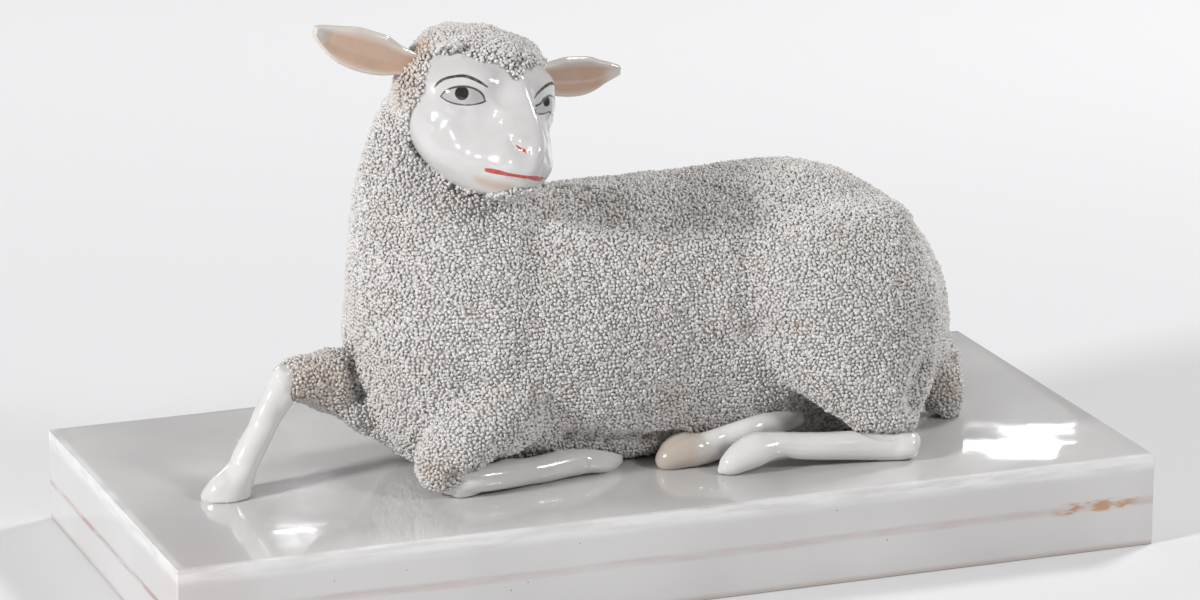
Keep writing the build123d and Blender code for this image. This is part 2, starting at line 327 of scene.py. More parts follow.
def ramped(tree, value, low, high, to_low=0.0, to_high=1.0):
    """Maps a value from one range to another with soft ends."""
    span = {"Value": value, "From Min": low, "From Max": high, "To Min": to_low, "To Max": to_high}
    return node(tree, "ShaderNodeMapRange", span, interpolation_type="SMOOTHSTEP").outputs["Result"]


def calc(tree, operation, first, second=0.0):
    """A sum, difference or other operation on values."""
    return node(tree, "ShaderNodeMath", {0: first, 1: second}, operation=operation).outputs["Value"]


def times(tree, first, second):
    """The product of two values."""
    return calc(tree, "MULTIPLY", first, second)


def object_place(tree):
    """The surface point in the object's own coordinates, which are the frame's."""
    return node(tree, "ShaderNodeTexCoord").outputs["Object"]


def noise(tree, where, scale, detail=2.0):
    """Noise over the object's own coordinates."""
    spread = {"Vector": where, "Scale": scale, "Detail": detail}
    return node(tree, "ShaderNodeTexNoise", spread).outputs["Fac"]


def stretched_noise(tree, where, scales, detail):
    """Noise with a scale of its own along each axis."""
    stretched = node(tree, "ShaderNodeVectorMath", {0: where, 1: scales}, operation="MULTIPLY")
    return noise(tree, stretched.outputs["Vector"], 1.0, detail)


def distance_to(tree, where, point):
    """Distance of the surface from a point."""
    return node(tree, "ShaderNodeVectorMath", {0: where, 1: point}, operation="DISTANCE").outputs["Value"]


def painted(tree, name):
    """A value that was painted on the vertices under this name."""
    return node(tree, "ShaderNodeAttribute", attribute_name=name).outputs["Fac"]


def bumped(tree, height, strength, distance):
    """The normal of a surface with fine relief."""
    relief = {"Height": height, "Strength": strength, "Distance": distance}
    return node(tree, "ShaderNodeBump", relief).outputs["Normal"]


# %% [markdown]
# Two effects recur on this object, so each is a node group that is built once and placed with its own
# values: the uneven tone and ripple of a glaze, and the dark specks and pinholes that a kiln leaves in it.

# %% Shared groups
def new_group(name, inputs, outputs):
    """A shader node group with named sockets: returns it with its input sockets and its output node."""
    group = bpy.data.node_groups.new(name, "ShaderNodeTree")
    for side, sockets in (("INPUT", inputs), ("OUTPUT", outputs)):
        for socket, kind in sockets.items():
            group.interface.new_socket(socket, in_out=side, socket_type=f"NodeSocket{kind}")
    return group, group.nodes.new("NodeGroupInput").outputs, group.nodes.new("NodeGroupOutput")


def glaze_skin_group():
    """Uneven tone, ripple and gloss of a brushed-on glaze."""
    inputs = {"Tone": "Color", "Pooled": "Color", "Patches": "Float", "Ripples": "Float"}
    outputs = {"Color": "Color", "Height": "Float", "Gloss": "Float"}
    group, given, result = new_group("glaze_skin", inputs, outputs)
    where = object_place(group)
    patches = noise(group, where, given["Patches"], 4.0)
    feed(group, result, {
        "Color": mix_colour(group, ramped(group, patches, 0.35, 0.7), given["Tone"], given["Pooled"]),
        "Height": noise(group, where, given["Ripples"], 1.0),
        "Gloss": ramped(group, patches, 0.3, 0.75, 0.1, 0.24),
    })
    return group


def kiln_specks_group():
    """Mask of small round specks: the share of cells that hold one, and how far it fills them."""
    inputs = {"Scale": "Float", "Share": "Float", "Size": "Float"}
    group, given, result = new_group("kiln_specks", inputs, {"Mask": "Float"})
    spread = {"Vector": object_place(group), "Scale": given["Scale"]}
    cells = node(group, "ShaderNodeTexVoronoi", spread).outputs
    draw = node(group, "ShaderNodeSeparateColor", {"Color": cells["Color"]}).outputs
    inside = calc(group, "LESS_THAN", cells["Distance"], times(group, draw["Green"], given["Size"]))
    chosen = calc(group, "LESS_THAN", draw["Red"], given["Share"])
    feed(group, result, {"Mask": times(group, inside, chosen)})
    return group


glaze_skin = glaze_skin_group()
kiln_specks = kiln_specks_group()


def glaze(tree, tone, pooled, patches, ripples):
    """Places the glaze group, and gives its outputs."""
    values = {"Tone": tone, "Pooled": pooled, "Patches": patches, "Ripples": ripples}
    return node(tree, "ShaderNodeGroup", node_tree=glaze_skin, inputs=values).outputs


def specks(tree, scale, share, size):
    """Places the group of kiln specks, and gives its mask."""
    values = {"Scale": scale, "Share": share, "Size": size}
    return node(tree, "ShaderNodeGroup", node_tree=kiln_specks, inputs=values).outputs["Mask"]


print("groups:", glaze_skin.name, kiln_specks.name)

# %% [markdown]
# The plinth was built from rolled slabs and dipped in a greyish white glaze. On the bench it is five slabs,
# but the glaze hides their joints, so one hollow box stands for them. It starts as a cube at the slabs' own
# size. The underside is inset and pushed up to hollow it, the edges are bevelled, and a cloud texture makes
# it slightly uneven, because a slab that was cut and dried by hand is never flat.

# %% Plinth
slab_nodes = ("plinth_top_slab", "plinth_front_wall", "plinth_back_wall", "plinth_chest_end_wall",
              "plinth_tail_end_wall")
slab_low, slab_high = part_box("plinth_top_slab")
plinth_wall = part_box("plinth_front_wall")[1].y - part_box("plinth_front_wall")[0].y
plinth_edge = 4.2 * MM
plinth_cuts = 48
slab_wobble = {"size": 55 * MM, "strength": 0.25 * MM}
glaze_ripple = {"size": 14 * MM, "strength": 0.05 * MM}


def cloudy(piece, size, strength, midlevel=1.0):
    """Moves a skin along its normals by a cloud texture of the given size."""
    texture = bpy.data.textures.new(f"{piece.name}_unevenness", "CLOUDS")
    texture.noise_scale = size
    shaped_by(piece, "DISPLACE", texture=texture, texture_coords="LOCAL", strength=strength,
              mid_level=midlevel)


deselect()
bpy.ops.mesh.primitive_cube_add(size=1.0, location=(0, 0, plinth_top / 2))
plinth = bpy.context.object
plinth.name = "plinth_glazed_slabs"
plinth.scale = (slab_high.x - slab_low.x, slab_high.y - slab_low.y, plinth_top)
bpy.ops.object.transform_apply(location=True, rotation=True, scale=True)
pick_faces(plinth, lambda centre, normal: normal.z < -0.5)
bpy.ops.mesh.inset(thickness=plinth_wall)
bpy.ops.mesh.extrude_region_move(TRANSFORM_OT_translate={"value": (0, 0, slab_low.z)})
bpy.ops.mesh.select_all(action="SELECT")
bpy.ops.mesh.subdivide(number_cuts=plinth_cuts)
leave_edit()
shaped_by(plinth, "BEVEL", width=plinth_edge, segments=4, limit_method="ANGLE", angle_limit=math.radians(50))
cloudy(plinth, **slab_wobble)
cloudy(plinth, **glaze_ripple)
only(plinth)
bpy.ops.object.shade_smooth_by_angle(angle=math.radians(40))
settle(plinth, "plinth_glaze", *slab_nodes)

# %% [markdown]
# The glaze of the plinth is worn. A painted line runs round its sides, faint in front, browner on the chest
# end, and rusty near the tail. One corner has a pink blush, the upper edges carry a painted highlight that
# makes them paler, and the foot is bare and brownish.

# %% Plinth glaze
side_line_height = 14.3 * MM
end_line_height = 12.0 * MM
line_half = 1.15 * MM
line_wander = 3 * MM
rust_middle = 131 * MM
corner_blush = Vector((-146, -67, 26)) * MM
plinth_tone = (0.645, 0.633, 0.627, 1)
plinth_pooled = (0.575, 0.563, 0.557, 1)
faint_line = (0.44, 0.31, 0.285, 1)
brown_line = (0.30, 0.165, 0.12, 1)
rust_orange = (0.46, 0.235, 0.09, 1)
blush_pink = (0.62, 0.42, 0.37, 1)
# Painted highlight along the upper edges, where the bevel catches the lamps
rim_highlight_white = (0.84, 0.83, 0.825, 1)
foot_brown = (0.38, 0.28, 0.23, 1)
pinhole_black = (0.20, 0.16, 0.14, 1)


def near_edge(tree, place, edge, none_mm, full_mm):
    """Mask along an edge of the plinth, gone at one distance inwards from it and full at a nearer one."""
    return ramped(tree, place, edge + none_mm * MM, edge + full_mm * MM)


def with_line(tree, colour, where, split, broken):
    """The colour with the worn brush line over it."""
    at_end = near_edge(tree, split["X"], slab_low.x, none_mm=12, full_mm=4)
    at_front = near_edge(tree, split["Y"], slab_low.y, none_mm=8, full_mm=3)
    wander = times(tree, calc(tree, "SUBTRACT", noise(tree, where, 7.0), 0.5), line_wander)
    line_height = ramped(tree, at_end, 0.0, 1.0, side_line_height, end_line_height)
    off_line = calc(tree, "SUBTRACT", calc(tree, "ADD", split["Z"], wander), line_height)
    off_line = calc(tree, "ABSOLUTE", off_line)
    band = ramped(tree, off_line, 1.5 * line_half, 0.5 * line_half)
    core = ramped(tree, off_line, 0.9 * line_half, 0.3 * line_half)
    wide_band = ramped(tree, off_line, 2.0 * line_half, 0.9 * line_half)
    faint = times(tree, band, ramped(tree, broken, 0.3, 0.65, 0.12, 0.4))
    colour = mix_colour(tree, faint, colour, faint_line)
    brown = times(tree, times(tree, core, at_end), ramped(tree, broken, 0.4, 0.6, 0.1, 0.75))
    colour = mix_colour(tree, brown, colour, brown_line)
    off_rust = calc(tree, "ABSOLUTE", calc(tree, "SUBTRACT", split["X"], rust_middle))
    rusty = times(tree, ramped(tree, off_rust, 16 * MM, 9 * MM), at_front)
    patchy = stretched_noise(tree, where, (130.0, 130.0, 420.0), 6.0)
    rusty = times(tree, times(tree, rusty, wide_band), ramped(tree, patchy, 0.44, 0.56))
    return mix_colour(tree, times(tree, rusty, 0.85), colour, rust_orange)


def plinth_glaze():
    """Grey-white glaze with pinholes, the line, the blush, a painted highlight on the upper edges and a
    brownish foot.
    """
    material, tree, shader = new_material("plinth_glaze")
    skin = glaze(tree, plinth_tone, plinth_pooled, patches=14.0, ripples=90.0)
    where = object_place(tree)
    split = node(tree, "ShaderNodeSeparateXYZ", {"Vector": where}).outputs
    broken = stretched_noise(tree, where, (60.0, 60.0, 420.0), 5.0)
    colour = with_line(tree, skin["Color"], where, split, broken)
    blush = ramped(tree, distance_to(tree, where, corner_blush), 26 * MM, 5 * MM, 0.0, 0.4)
    colour = mix_colour(tree, times(tree, blush, broken), colour, blush_pink)
    # Painted highlight: the upper edges of the end and the front are made paler
    high = ramped(tree, split["Z"], plinth_top - 6 * MM, plinth_top - 2 * MM)
    end_rim_highlight = near_edge(tree, split["X"], slab_low.x, none_mm=3.2, full_mm=1.2)
    front_rim_highlight = near_edge(tree, split["Y"], slab_low.y, none_mm=3, full_mm=1.2)
    rim_highlight = times(tree, high, calc(tree, "MAXIMUM", end_rim_highlight, front_rim_highlight))
    rim_highlight = times(tree, rim_highlight, ramped(tree, broken, 0.3, 0.6, 0.2, 0.8))
    colour = mix_colour(tree, rim_highlight, colour, rim_highlight_white)
    foot = ramped(tree, split["Z"], 2.2 * MM, 0.3 * MM, 0.0, 0.55)
    colour = mix_colour(tree, foot, colour, foot_brown)
    pinholes = specks(tree, scale=190.0, share=0.18, size=0.068)
    height = calc(tree, "SUBTRACT", skin["Height"], times(tree, pinholes, 0.5))
    feed(tree, shader, {
        "Base Color": mix_colour(tree, times(tree, pinholes, 0.7), colour, pinhole_black),
        "Roughness": skin["Gloss"], "Normal": bumped(tree, height, strength=0.2, distance=0.4 * MM),
        "Coat Weight": 0.6, "Coat Roughness": 0.03,
    })
    return material


plinth.data.materials.append(plinth_glaze())

# %% [markdown]
# The two stays under the top slab are never glazed. Their solids are right as they are, so they stay, with
# a bare clay finish: a warm buff with fine grog.

# %% Bare clay of the stays
def bare_clay():
    """Unglazed buff earthenware with fine grog."""
    material, tree, shader = new_material("bare_clay")
    grain = noise(tree, object_place(tree), 900.0, 4.0)
    colour = mix_colour(tree, grain, (0.46, 0.34, 0.25, 1), (0.62, 0.49, 0.38, 1))
    grog = times(tree, specks(tree, scale=500.0, share=0.25, size=0.28), 0.6)
    feed(tree, shader, {
        "Base Color": mix_colour(tree, grog, colour, (0.30, 0.20, 0.14, 1)),
        "Roughness": 0.85, "Normal": bumped(tree, grain, strength=0.5, distance=0.3 * MM),
    })
    return material


clay = bare_clay()
for stay in ("plinth_chest_stay", "plinth_tail_stay"):
    frame["nodes"][stay].data.materials.clear()
    frame["nodes"][stay].data.materials.append(clay)
    print(stay, "keeps its solid")

# %% [markdown]
# The head is a smooth white form under a thick gloss. Its solid gives the size and the turn of the skull.
# Places on the head are given across, forwards and up from the middle of the skull, in millimetres.

# %% Places on the head
head_middle = Vector((-38.0, -5.0, 136.5)) * MM
head_yaw = math.radians(13.0)
head_roll = math.radians(14.5)
level_across = Vector((math.cos(head_yaw), math.sin(head_yaw), 0))
head_across = level_across * math.cos(head_roll) - Vector((0, 0, 1)) * math.sin(head_roll)
head_up = level_across * math.sin(head_roll) + Vector((0, 0, 1)) * math.cos(head_roll)
head_forwards = head_across.cross(head_up)
head_turn = Matrix((head_across, head_forwards, head_up)).transposed()
head_reach = 45 * MM


def in_head(across, forwards, up):
    """Point of the head, in millimetres from the middle of the skull, as a place in the frame."""
    return head_middle + head_turn @ Vector((across, forwards, up)) * MM


def in_head_terms(places):
    """Places of the frame as metres across, forwards and up from the middle of the skull."""
    return (places - np.array(head_middle)) @ np.array(head_turn)


def mirror_places(places):
    """The same places on the other side of the head."""
    return np.array(head_middle) + (in_head_terms(places) * (-1, 1, 1)) @ np.array(head_turn).T


print("nose tip at", [round(x / MM) for x in in_head(0, 37, -8)], "mm")

# %% [markdown]
# A ball of fine triangles is shrunk on to the head's solid, whose open neck is plugged first. The crown is
# drawn in after that, because the coat of crumbs adds to it later.

# %% Head shape
head_plug = {"radius": 16 * MM, "location": in_head(0, 0, -2)}
ball_middle = in_head(0, 6.5, -1)
ball_size = Vector((31, 39, 31)) * MM
crown_middle = in_head(0, -2, 0)
crown_start = 15 * MM
crown_squeeze = 0.935
crown_fade = 12 * MM


def clay_copy(name, *nodes):
    """A copy of some solids as one object, with the loose triangles welded into a skin."""
    copies = []
    for solid in nodes:
        copies.append(bpy.data.objects.new(name, frame["nodes"][solid].data.copy()))
        copies[-1].data.materials.clear()
        bpy.context.collection.objects.link(copies[-1])
    *others, piece = copies
    if others:
        join_to(piece, others)
    piece.name = name
    edit_all(piece)
    bpy.ops.mesh.remove_doubles(threshold=0.001 * MM)
    leave_edit()
    return piece


def squeeze_crown(piece, most_forwards):
    """Draws the top of the head towards its middle."""
    local = in_head_terms(places_of(piece))
    top = (local[:, 2] > crown_start) & (local[:, 1] < most_forwards) & (lengths(local) < head_reach)
    pick_vertices(piece, np.flatnonzero(top))
    bpy.ops.transform.resize(
        value=(crown_squeeze,) * 3, center_override=crown_middle, use_proportional_edit=True,
        proportional_edit_falloff="SMOOTH", proportional_size=crown_fade,
    )
    leave_edit()


head_skin = clay_copy("head_skin", "head")
bpy.ops.mesh.primitive_ico_sphere_add(subdivisions=4, **head_plug)
join_to(head_skin, [bpy.context.object])
deselect()
bpy.ops.mesh.primitive_ico_sphere_add(subdivisions=6, radius=1.0)
face = bpy.context.object
face.name = "head_glazed"
ball_turn = Matrix((head_across, -head_forwards, head_up)).transposed()
face.matrix_world = Matrix.Translation(ball_middle) @ ball_turn.to_4x4() @ Matrix.Diagonal(ball_size).to_4x4()
bpy.ops.object.transform_apply(location=True, rotation=True, scale=True)
shaped_by(face, "SHRINKWRAP", target=head_skin, wrap_method="PROJECT", use_negative_direction=True,
          use_positive_direction=False)
shaped_by(face, "SMOOTH", factor=0.5, iterations=6)
bpy.data.objects.remove(head_skin)
squeeze_crown(face, most_forwards=6 * MM)
print("head:", len(face.data.polygons), "triangles")

# %% [markdown]
# The features are pulled out and pushed in, as a modeller does with the thumb: first the broad hollows and
# swellings, then the sharp ridge of the nose, and last what is fine, such as the eyeballs, the nostrils and
# the lips.

# %% Pressing and lifting
far_gap = 99.0
stroke_reach = 40 * MM


def search_tree(points):
    """A tree that finds the nearest of some points."""
    tree = KDTree(len(points))
    for index, point in enumerate(points):
        tree.insert(point, index)
    tree.balance()
    return tree


def press(piece, points, push, reach, way=None):
    """Pulls the skin at some points along its normals, or one way, fading out over the reach."""
    tree = search_tree([vertex.co for vertex in piece.data.vertices])
    pick_vertices(piece, [tree.find(point)[1] for point in points])
    fading = {
        "use_proportional_edit": True, "proportional_edit_falloff": "SMOOTH", "proportional_size": reach,
    }
    if way:
        bpy.ops.transform.translate(value=push * Vector(way), **fading)
    else:
        bpy.ops.transform.shrink_fatten(value=push, **fading)
    leave_edit()


def gap_to_stroke(places, line):
    """Distance in millimetres from each place to the edge of a stroke, negative inside it."""
    best = np.full(len(places), far_gap)
    near = np.flatnonzero(lengths(places - line[:, :3].mean(axis=0)) < stroke_reach)
    for start, end in zip(line, line[1:]):
        step = end[:3] - start[:3]
        share = np.clip((places[near] - start[:3]) @ step / (step @ step), 0, 1)
        gap = lengths(places[near] - start[:3] - share[:, None] * step)
        gap -= (start[3] + share * (end[3] - start[3])) / 2
        best[near] = np.minimum(best[near], gap / MM)
    return best


def lift_along(piece, line, push, reach_mm):
    """Lifts the skin along a line, by weights that fade like a bell over the reach."""
    weights = np.exp(-0.5 * (gap_to_stroke(places_of(piece), line) / reach_mm) ** 2)
    group = piece.vertex_groups.new(name="lift")
    for index in np.flatnonzero(weights > 0.01):
        group.add([int(index)], float(weights[index]), "REPLACE")
    shaped_by(piece, "DISPLACE", vertex_group="lift", strength=push, mid_level=0.0)
    piece.vertex_groups.clear()


# %% Features of the face
ridge = np.array([[*in_head(0, 16.5 + 0.6 * step, 8.9 - 0.426 * step), 0] for step in range(34)])
nostril_wing = [(7.5, 29.5, -5.8), (6.9, 30.2, -6.7), (6.3, 30.8, -7.4), (5.5, 31.6, -7.9), (4.6, 32.4, -8.2),
                (3.7, 33.3, -8.4), (2.8, 34.2, -8.6)]
mouth_groove = [(12.5 - 0.75 * step, 26.0 + 0.6 * step, -16.3) for step in range(15)]
# Push and reach in millimetres, and the points on one side of the head or in its middle
broad_features = {
    "eye hollows": (-2.6, 7.5, [(8, 20.3, 4.5), (9, 19.8, 2.5), (9, 20.5, 0)]),
    "hollows beside the nose": (-1.3, 7, [(10.5, 20, -4), (13.5, 15.5, -3)]),
    "brows": (1.0, 5, [(10, 15, 9.2), (12, 13.4, 9.8), (14, 12, 10)]),
    "left temple": (1.8, 7, [(16, 10, 9.8), (18, 7.5, 9)]),
    "chin": (1.0, 6, [(0, 32, -20)]),
}
fine_features = {
    "eyeballs": (0.9, 4.5, [(13.5, 12.5, 3.2), (15.5, 11, 3.4), (17, 9.5, 3.2)]),
    "lower lids": (0.7, 2.6, [(17.5, 10.7, -1.2), (15.6, 13, -2.2)]),
    "cheekbones": (0.6, 3.5, [(19.9, 7.5, -6.6)]),
    "cheeks": (0.7, 4, [(16.2, 14, -7.5)]),
    "jaws": (0.7, 5, [(15.5, 17, -11)]),
    "corners of the mouth": (0.5, 4.5, [(13, 23, -12.5)]),
    "flares over the nostrils": (1.0, 3, [(5.4, 32.4, -5.2)]),
    "nostrils": (-0.8, 1.7, nostril_wing),
    "upper lip": (1.1, 4.5, [(6.5, 32, -12)]),
    "cleft of the nose": (-0.7, 2.2, [(0, 37, -10.5), (0, 36.8, -12), (0, 36.5, -13.5)]),
    "mouth": (-0.5, 1.8, mouth_groove),
}


def press_features(features):
    """Presses each feature on both sides of the head, or on the left alone where its name says so."""
    for name, (push, reach, points) in features.items():
        sides = (1,) if name.startswith("left") else (-1, 1)
        places = [in_head(side * across, forwards, up) for side in sides for across, forwards, up in points]
        press(face, places, push * MM, reach * MM)
    print("pressed:", ", ".join(features))


press_features(broad_features)
shaped_by(face, "SMOOTH", factor=0.5, iterations=12)
lift_along(face, ridge, push=2.0 * MM, reach_mm=2.3)
press_features(fine_features)
shaped_by(face, "SMOOTH", factor=0.5, iterations=3)
smooth_shaded(face)

# %% [markdown]
# The brows, eyes, nostrils and mouth are brush strokes under the gloss, with no thickness of their own.
# Each is a line of a few points, taken as pixels of the picture and cast on to the face, with a width at
# each point.

# %% Strokes
def on_skin(piece, x_px, y_px):
    """The point of a piece behind a pixel of the picture, or the nearest one where the ray passes by."""
    ray = photo_ray(x_px, y_px)
    hit, place, normal, index = piece.ray_cast(view_point, ray)
    if not hit:
        beside = view_point + ray * (head_middle - view_point).dot(ray)
        hit, place, normal, index = piece.closest_point_on_mesh(beside)
    return place


def laid_on_face(line):
    """A line of places and widths, moved to the nearest points of the face."""
    for row in line:
        row[:3] = face.closest_point_on_mesh(Vector(row[:3]))[1]
    return np.array(line)


def stroke(points, steps=8):
    """Smooth line through points of the form place and width, laid on the face as finer places and widths."""
    rows = np.array([[*place, width] for place, width in points])
    padded = np.vstack([2 * rows[0] - rows[1], rows, 2 * rows[-1] - rows[-2]])
    line = []
    for before, start, end, after in zip(padded, padded[1:], padded[2:], padded[3:]):
        for share in np.linspace(0, 1, steps, endpoint=False):
            curve = (
                2 * start + (end - before) * share
                + (2 * before - 5 * start + 4 * end - after) * share**2
                + (3 * start - before - 3 * end + after) * share**3
            )
            line.append(curve / 2)
    return laid_on_face([*line, rows[-1]])


def seen_points(pixels):
    """Points of the face and widths, from rows of x and y in pixels and a width in millimetres."""
    return [(on_skin(face, x_px, y_px), width * MM) for x_px, y_px, width in pixels]


def mirrored(line):
    """The same stroke on the other side of the head, laid on the face."""
    return laid_on_face(np.hstack([mirror_places(line[:, :3]), line[:, 3:]]))


hidden_step = 6


def far_side(pixels, twin):
    """A stroke of the far side, brushed where it is seen and then led on to the mirrored twin's end."""
    seen = seen_points(pixels)
    other = mirrored(twin)
    last = np.array(seen[-1][0])
    meet = int(np.argmin(lengths(other[:, :3] - last)))
    hidden = []
    for index in [*range(meet - hidden_step, 0, -hidden_step), 0]:
        shift = (last - other[meet, :3]) * index / max(meet, 1)
        hidden.append((Vector(other[index, :3] + shift), other[index, 3]))
    return stroke(seen + hidden, steps=5)


# %% Brows, eyes, nostrils and mouth
brow_px = [(434.8, 87, 0.6), (439.6, 81.7, 0.95), (448.4, 77.6, 0.9), (461.6, 75.8, 0.95), (470.4, 77.6, 1.0),
           (479.2, 81.7, 0.9), (487.3, 86.9, 0.5)]
upper_lid_px = [(440.6, 96.4, 0.45), (444, 92.2, 0.55), (450.6, 88.3, 0.65), (460.1, 86.5, 0.75),
                (468.9, 87, 0.7), (477.7, 90.3, 0.65), (482.9, 95, 0.65), (485.2, 101.2, 0.6)]
lower_lid_px = [(440.6, 96.4, 0.4), (446.9, 100.9, 0.45), (455.7, 103.8, 0.5), (464.5, 105, 0.5),
                (473.3, 104.6, 0.5), (480.7, 103.1, 0.55), (485.2, 101.2, 0.55)]
mouth_px = [(486.3, 170, 1.2), (493.9, 171.4, 1.6), (503, 173.3, 1.55), (512.7, 175.3, 1.35),
            (521, 176.6, 1.3), (529.5, 177.6, 1.4), (536, 178.5, 1.6), (542, 179.2, 1.7)]
nostril_px = [(516.5, 145.6, 0.5), (520.6, 148.8, 0.85), (525, 150.9, 0.9), (529, 151.9, 0.6)]
far_brow_px = [(534.6, 98, 0.6), (538.3, 92.5, 0.9), (544.5, 86.9, 0.95), (550, 83.6, 0.9)]
far_upper_px = [(535, 110.6, 0.5), (538.3, 104.8, 0.7), (543.5, 98.9, 0.75), (548.6, 95.8, 0.7)]
far_lower_px = [(535, 110.9, 0.45), (537.4, 113, 0.55), (540.5, 113.9, 0.55), (545, 113.3, 0.5),
                (549.5, 111.8, 0.5)]
tan_px = [(479, 180.5, 0.6), (488, 183.5, 1.2), (499, 186, 1.2), (511, 187, 0.6)]
near_px = (brow_px, upper_lid_px, lower_lid_px, mouth_px, nostril_px)
brow, upper_lid, lower_lid, mouth, nostril = [stroke(seen_points(pixels)) for pixels in near_px]
far_brow = far_side(far_brow_px, brow)
far_upper = far_side(far_upper_px, upper_lid)
far_lower = far_side(far_lower_px, lower_lid)
far_mouth_end = 22
eye_lines = [upper_lid, lower_lid, far_upper, far_lower]
brow_lines = [brow, far_brow]
red_lines = [mouth, mirrored(mouth)[:far_mouth_end], nostril, mirrored(nostril)]
eye_outlines = [np.vstack([upper_lid, lower_lid[::-1]]), np.vstack([far_upper, far_lower[::-1]])]
pupils = [np.array(on_skin(face, 461.7, 93.2)), np.array(on_skin(face, 546.4, 101))]
pupil_radii = (2.05 * MM, 1.6 * MM)
print("strokes:", [len(line) for line in eye_lines + brow_lines + red_lines], "points")

# %% [markdown]
# What is painted on the vertices is the distance to the edge of a stroke, which stays sharp between them.
# The skin is made finer along the strokes first. The white of an eye and its pupil are areas, so theirs is
# the distance to an outline, seen along the normal of the face there.

# %% Paint on the vertices
finer_passes = 2
finer_reach = 1.6 * MM
eye_reach = 12 * MM
tan_fade_mm = 2.4


def inside_ring(flat, ring):
    """Which points lie inside a closed outline."""
    inside = np.zeros(len(flat), dtype=bool)
    for start, end in zip(ring, np.roll(ring, -1, axis=0)):
        crosses = (start[1] > flat[:, 1]) != (end[1] > flat[:, 1])
        rise = end[1] - start[1] if end[1] != start[1] else 1.0
        inside ^= crosses & (flat[:, 0] < start[0] + (flat[:, 1] - start[1]) / rise * (end[0] - start[0]))
    return inside


def gap_to_outline(places, outline, middle, normal):
    """Distance in millimetres to a closed outline seen along a normal, negative inside it."""
    normal = np.array(normal)
    sideways = np.cross(normal, np.array(head_up))
    sideways /= np.linalg.norm(sideways)
    upward = np.cross(sideways, normal)
    flat, ring = [
        np.stack([(points - middle) @ sideways, (points - middle) @ upward], axis=1)
        for points in (places, outline[:, :3])
    ]
    best = np.full(len(places), far_gap)
    for start, end in zip(ring, np.roll(ring, -1, axis=0)):
        step = end - start
        share = np.clip((flat - start) @ step / max(step @ step, 1e-12), 0, 1)
        best = np.minimum(best, lengths(flat - start - share[:, None] * step))
    signed = np.where(inside_ring(flat, ring), -best, best) / MM
    signed[lengths(places - middle) > eye_reach] = far_gap
    return signed


def paint(piece, name, values):
    """Stores one value on each vertex under a name."""
    layer = piece.data.attributes.new(name, "FLOAT", "POINT")
    layer.data.foreach_set("value", np.asarray(values, dtype=np.float32))


stroke_points = np.vstack([line[:, :3] for line in eye_lines + brow_lines + red_lines] + pupils)
stroke_tree = search_tree([Vector(point) for point in stroke_points])
for finer_pass in range(finer_passes):
    pick_faces(face, lambda centre, normal: stroke_tree.find(centre)[2] < finer_reach)
    bpy.ops.mesh.subdivide(number_cuts=1)
    leave_edit()

skin = places_of(face)
for name, lines in (("brow_gap", brow_lines), ("lid_gap", eye_lines), ("red_gap", red_lines)):
    paint(face, name, np.min([gap_to_stroke(skin, line) for line in lines], axis=0))
eye_gaps, pupil_gaps = [], []
for outline, pupil, radius in zip(eye_outlines, pupils, pupil_radii):
    middle = outline[:, :3].mean(axis=0)
    hit, place, normal, index = face.closest_point_on_mesh(Vector(middle))
    eye_gaps.append(gap_to_outline(skin, outline, middle, normal))
    pupil_gaps.append((lengths(skin - pupil) - radius) / MM)
paint(face, "eye_gap", np.min(eye_gaps, axis=0))
paint(face, "pupil_gap", np.maximum(np.min(pupil_gaps, axis=0), np.min(eye_gaps, axis=0)))
tan_line = stroke(seen_points(tan_px))
paint(face, "tan_wash", np.clip(1 - gap_to_stroke(skin, tan_line) / tan_fade_mm, 0, 1))
print("painted vertices:", len(skin))

# %% [markdown]
# The fleece ends at a hairline round the bare face. It is drawn as the ring of pixels that the bare face
# fills in the picture, closed to the right beyond its outline. What the picture can't see is judged by its
# mirror place.

# %% Hairline
hairline_px = np.array([
    (431, 57), (437, 50), (447, 50), (458, 51.5), (472, 58), (483, 62), (498, 63.5), (510, 75), (515, 81),
    (521, 77), (525.5, 67.5), (536, 65), (547, 63.6), (553, 69), (590, 69), (590, 187), (541, 187),
    (512, 188.5), (492, 193.5), (469, 193), (455, 188), (449, 182), (435, 171.5), (420, 158), (411.5, 142.5),
    (409, 127), (411.5, 112), (424.5, 90), (425.5, 81), (428, 68),
])
bare_start = -8 * MM


def towards_camera(places, normals):
    """Which places of a skin face the camera."""
    return ((np.array(view_point) - places) * normals).sum(axis=1) > 0


def bare_of_fleece(places, normals, ring=hairline_px):
    """Whether places on the head are bare: judged in the picture, or by their mirror place."""
    seen = towards_camera(places, normals)
    judged = np.where(seen[:, None], places, mirror_places(places))
    return inside_ring(to_pixels(judged), ring) & (in_head_terms(places)[:, 1] > bare_start)


bare = bare_of_fleece(skin, normals_of(face))
paint(face, "bare", bare)
print("bare vertices:", int(bare.sum()))
settle(face, "white_glaze", "head")

# %% [markdown]
# One white glaze serves the head and the bare legs: nearly white, a little grey where it pools, and very
# glossy. On the legs its tone is set paler, as painted light. The face adds its painted strokes. Each
# stroke's stored distance turns into a mask with a soft edge of a tenth of a millimetre, which is how a brush
# line looks after the glaze has drawn into it.

# %% White glaze
def white_glaze_nodes(tree, shader, tone, pooled):
    """White gloss with a few specks: returns the colour, which a piece may paint over."""
    skin = glaze(tree, tone, pooled, patches=45.0, ripples=130.0)
    feed(tree, shader, {
        "Roughness": skin["Gloss"], "Normal": bumped(tree, skin["Height"], strength=0.12, distance=0.5 * MM),
        "Coat Weight": 0.5, "Coat Roughness": 0.05,
    })
    dark = times(tree, specks(tree, scale=220.0, share=0.03, size=0.07), 0.5)
    return mix_colour(tree, dark, skin["Color"], (0.35, 0.30, 0.27, 1))


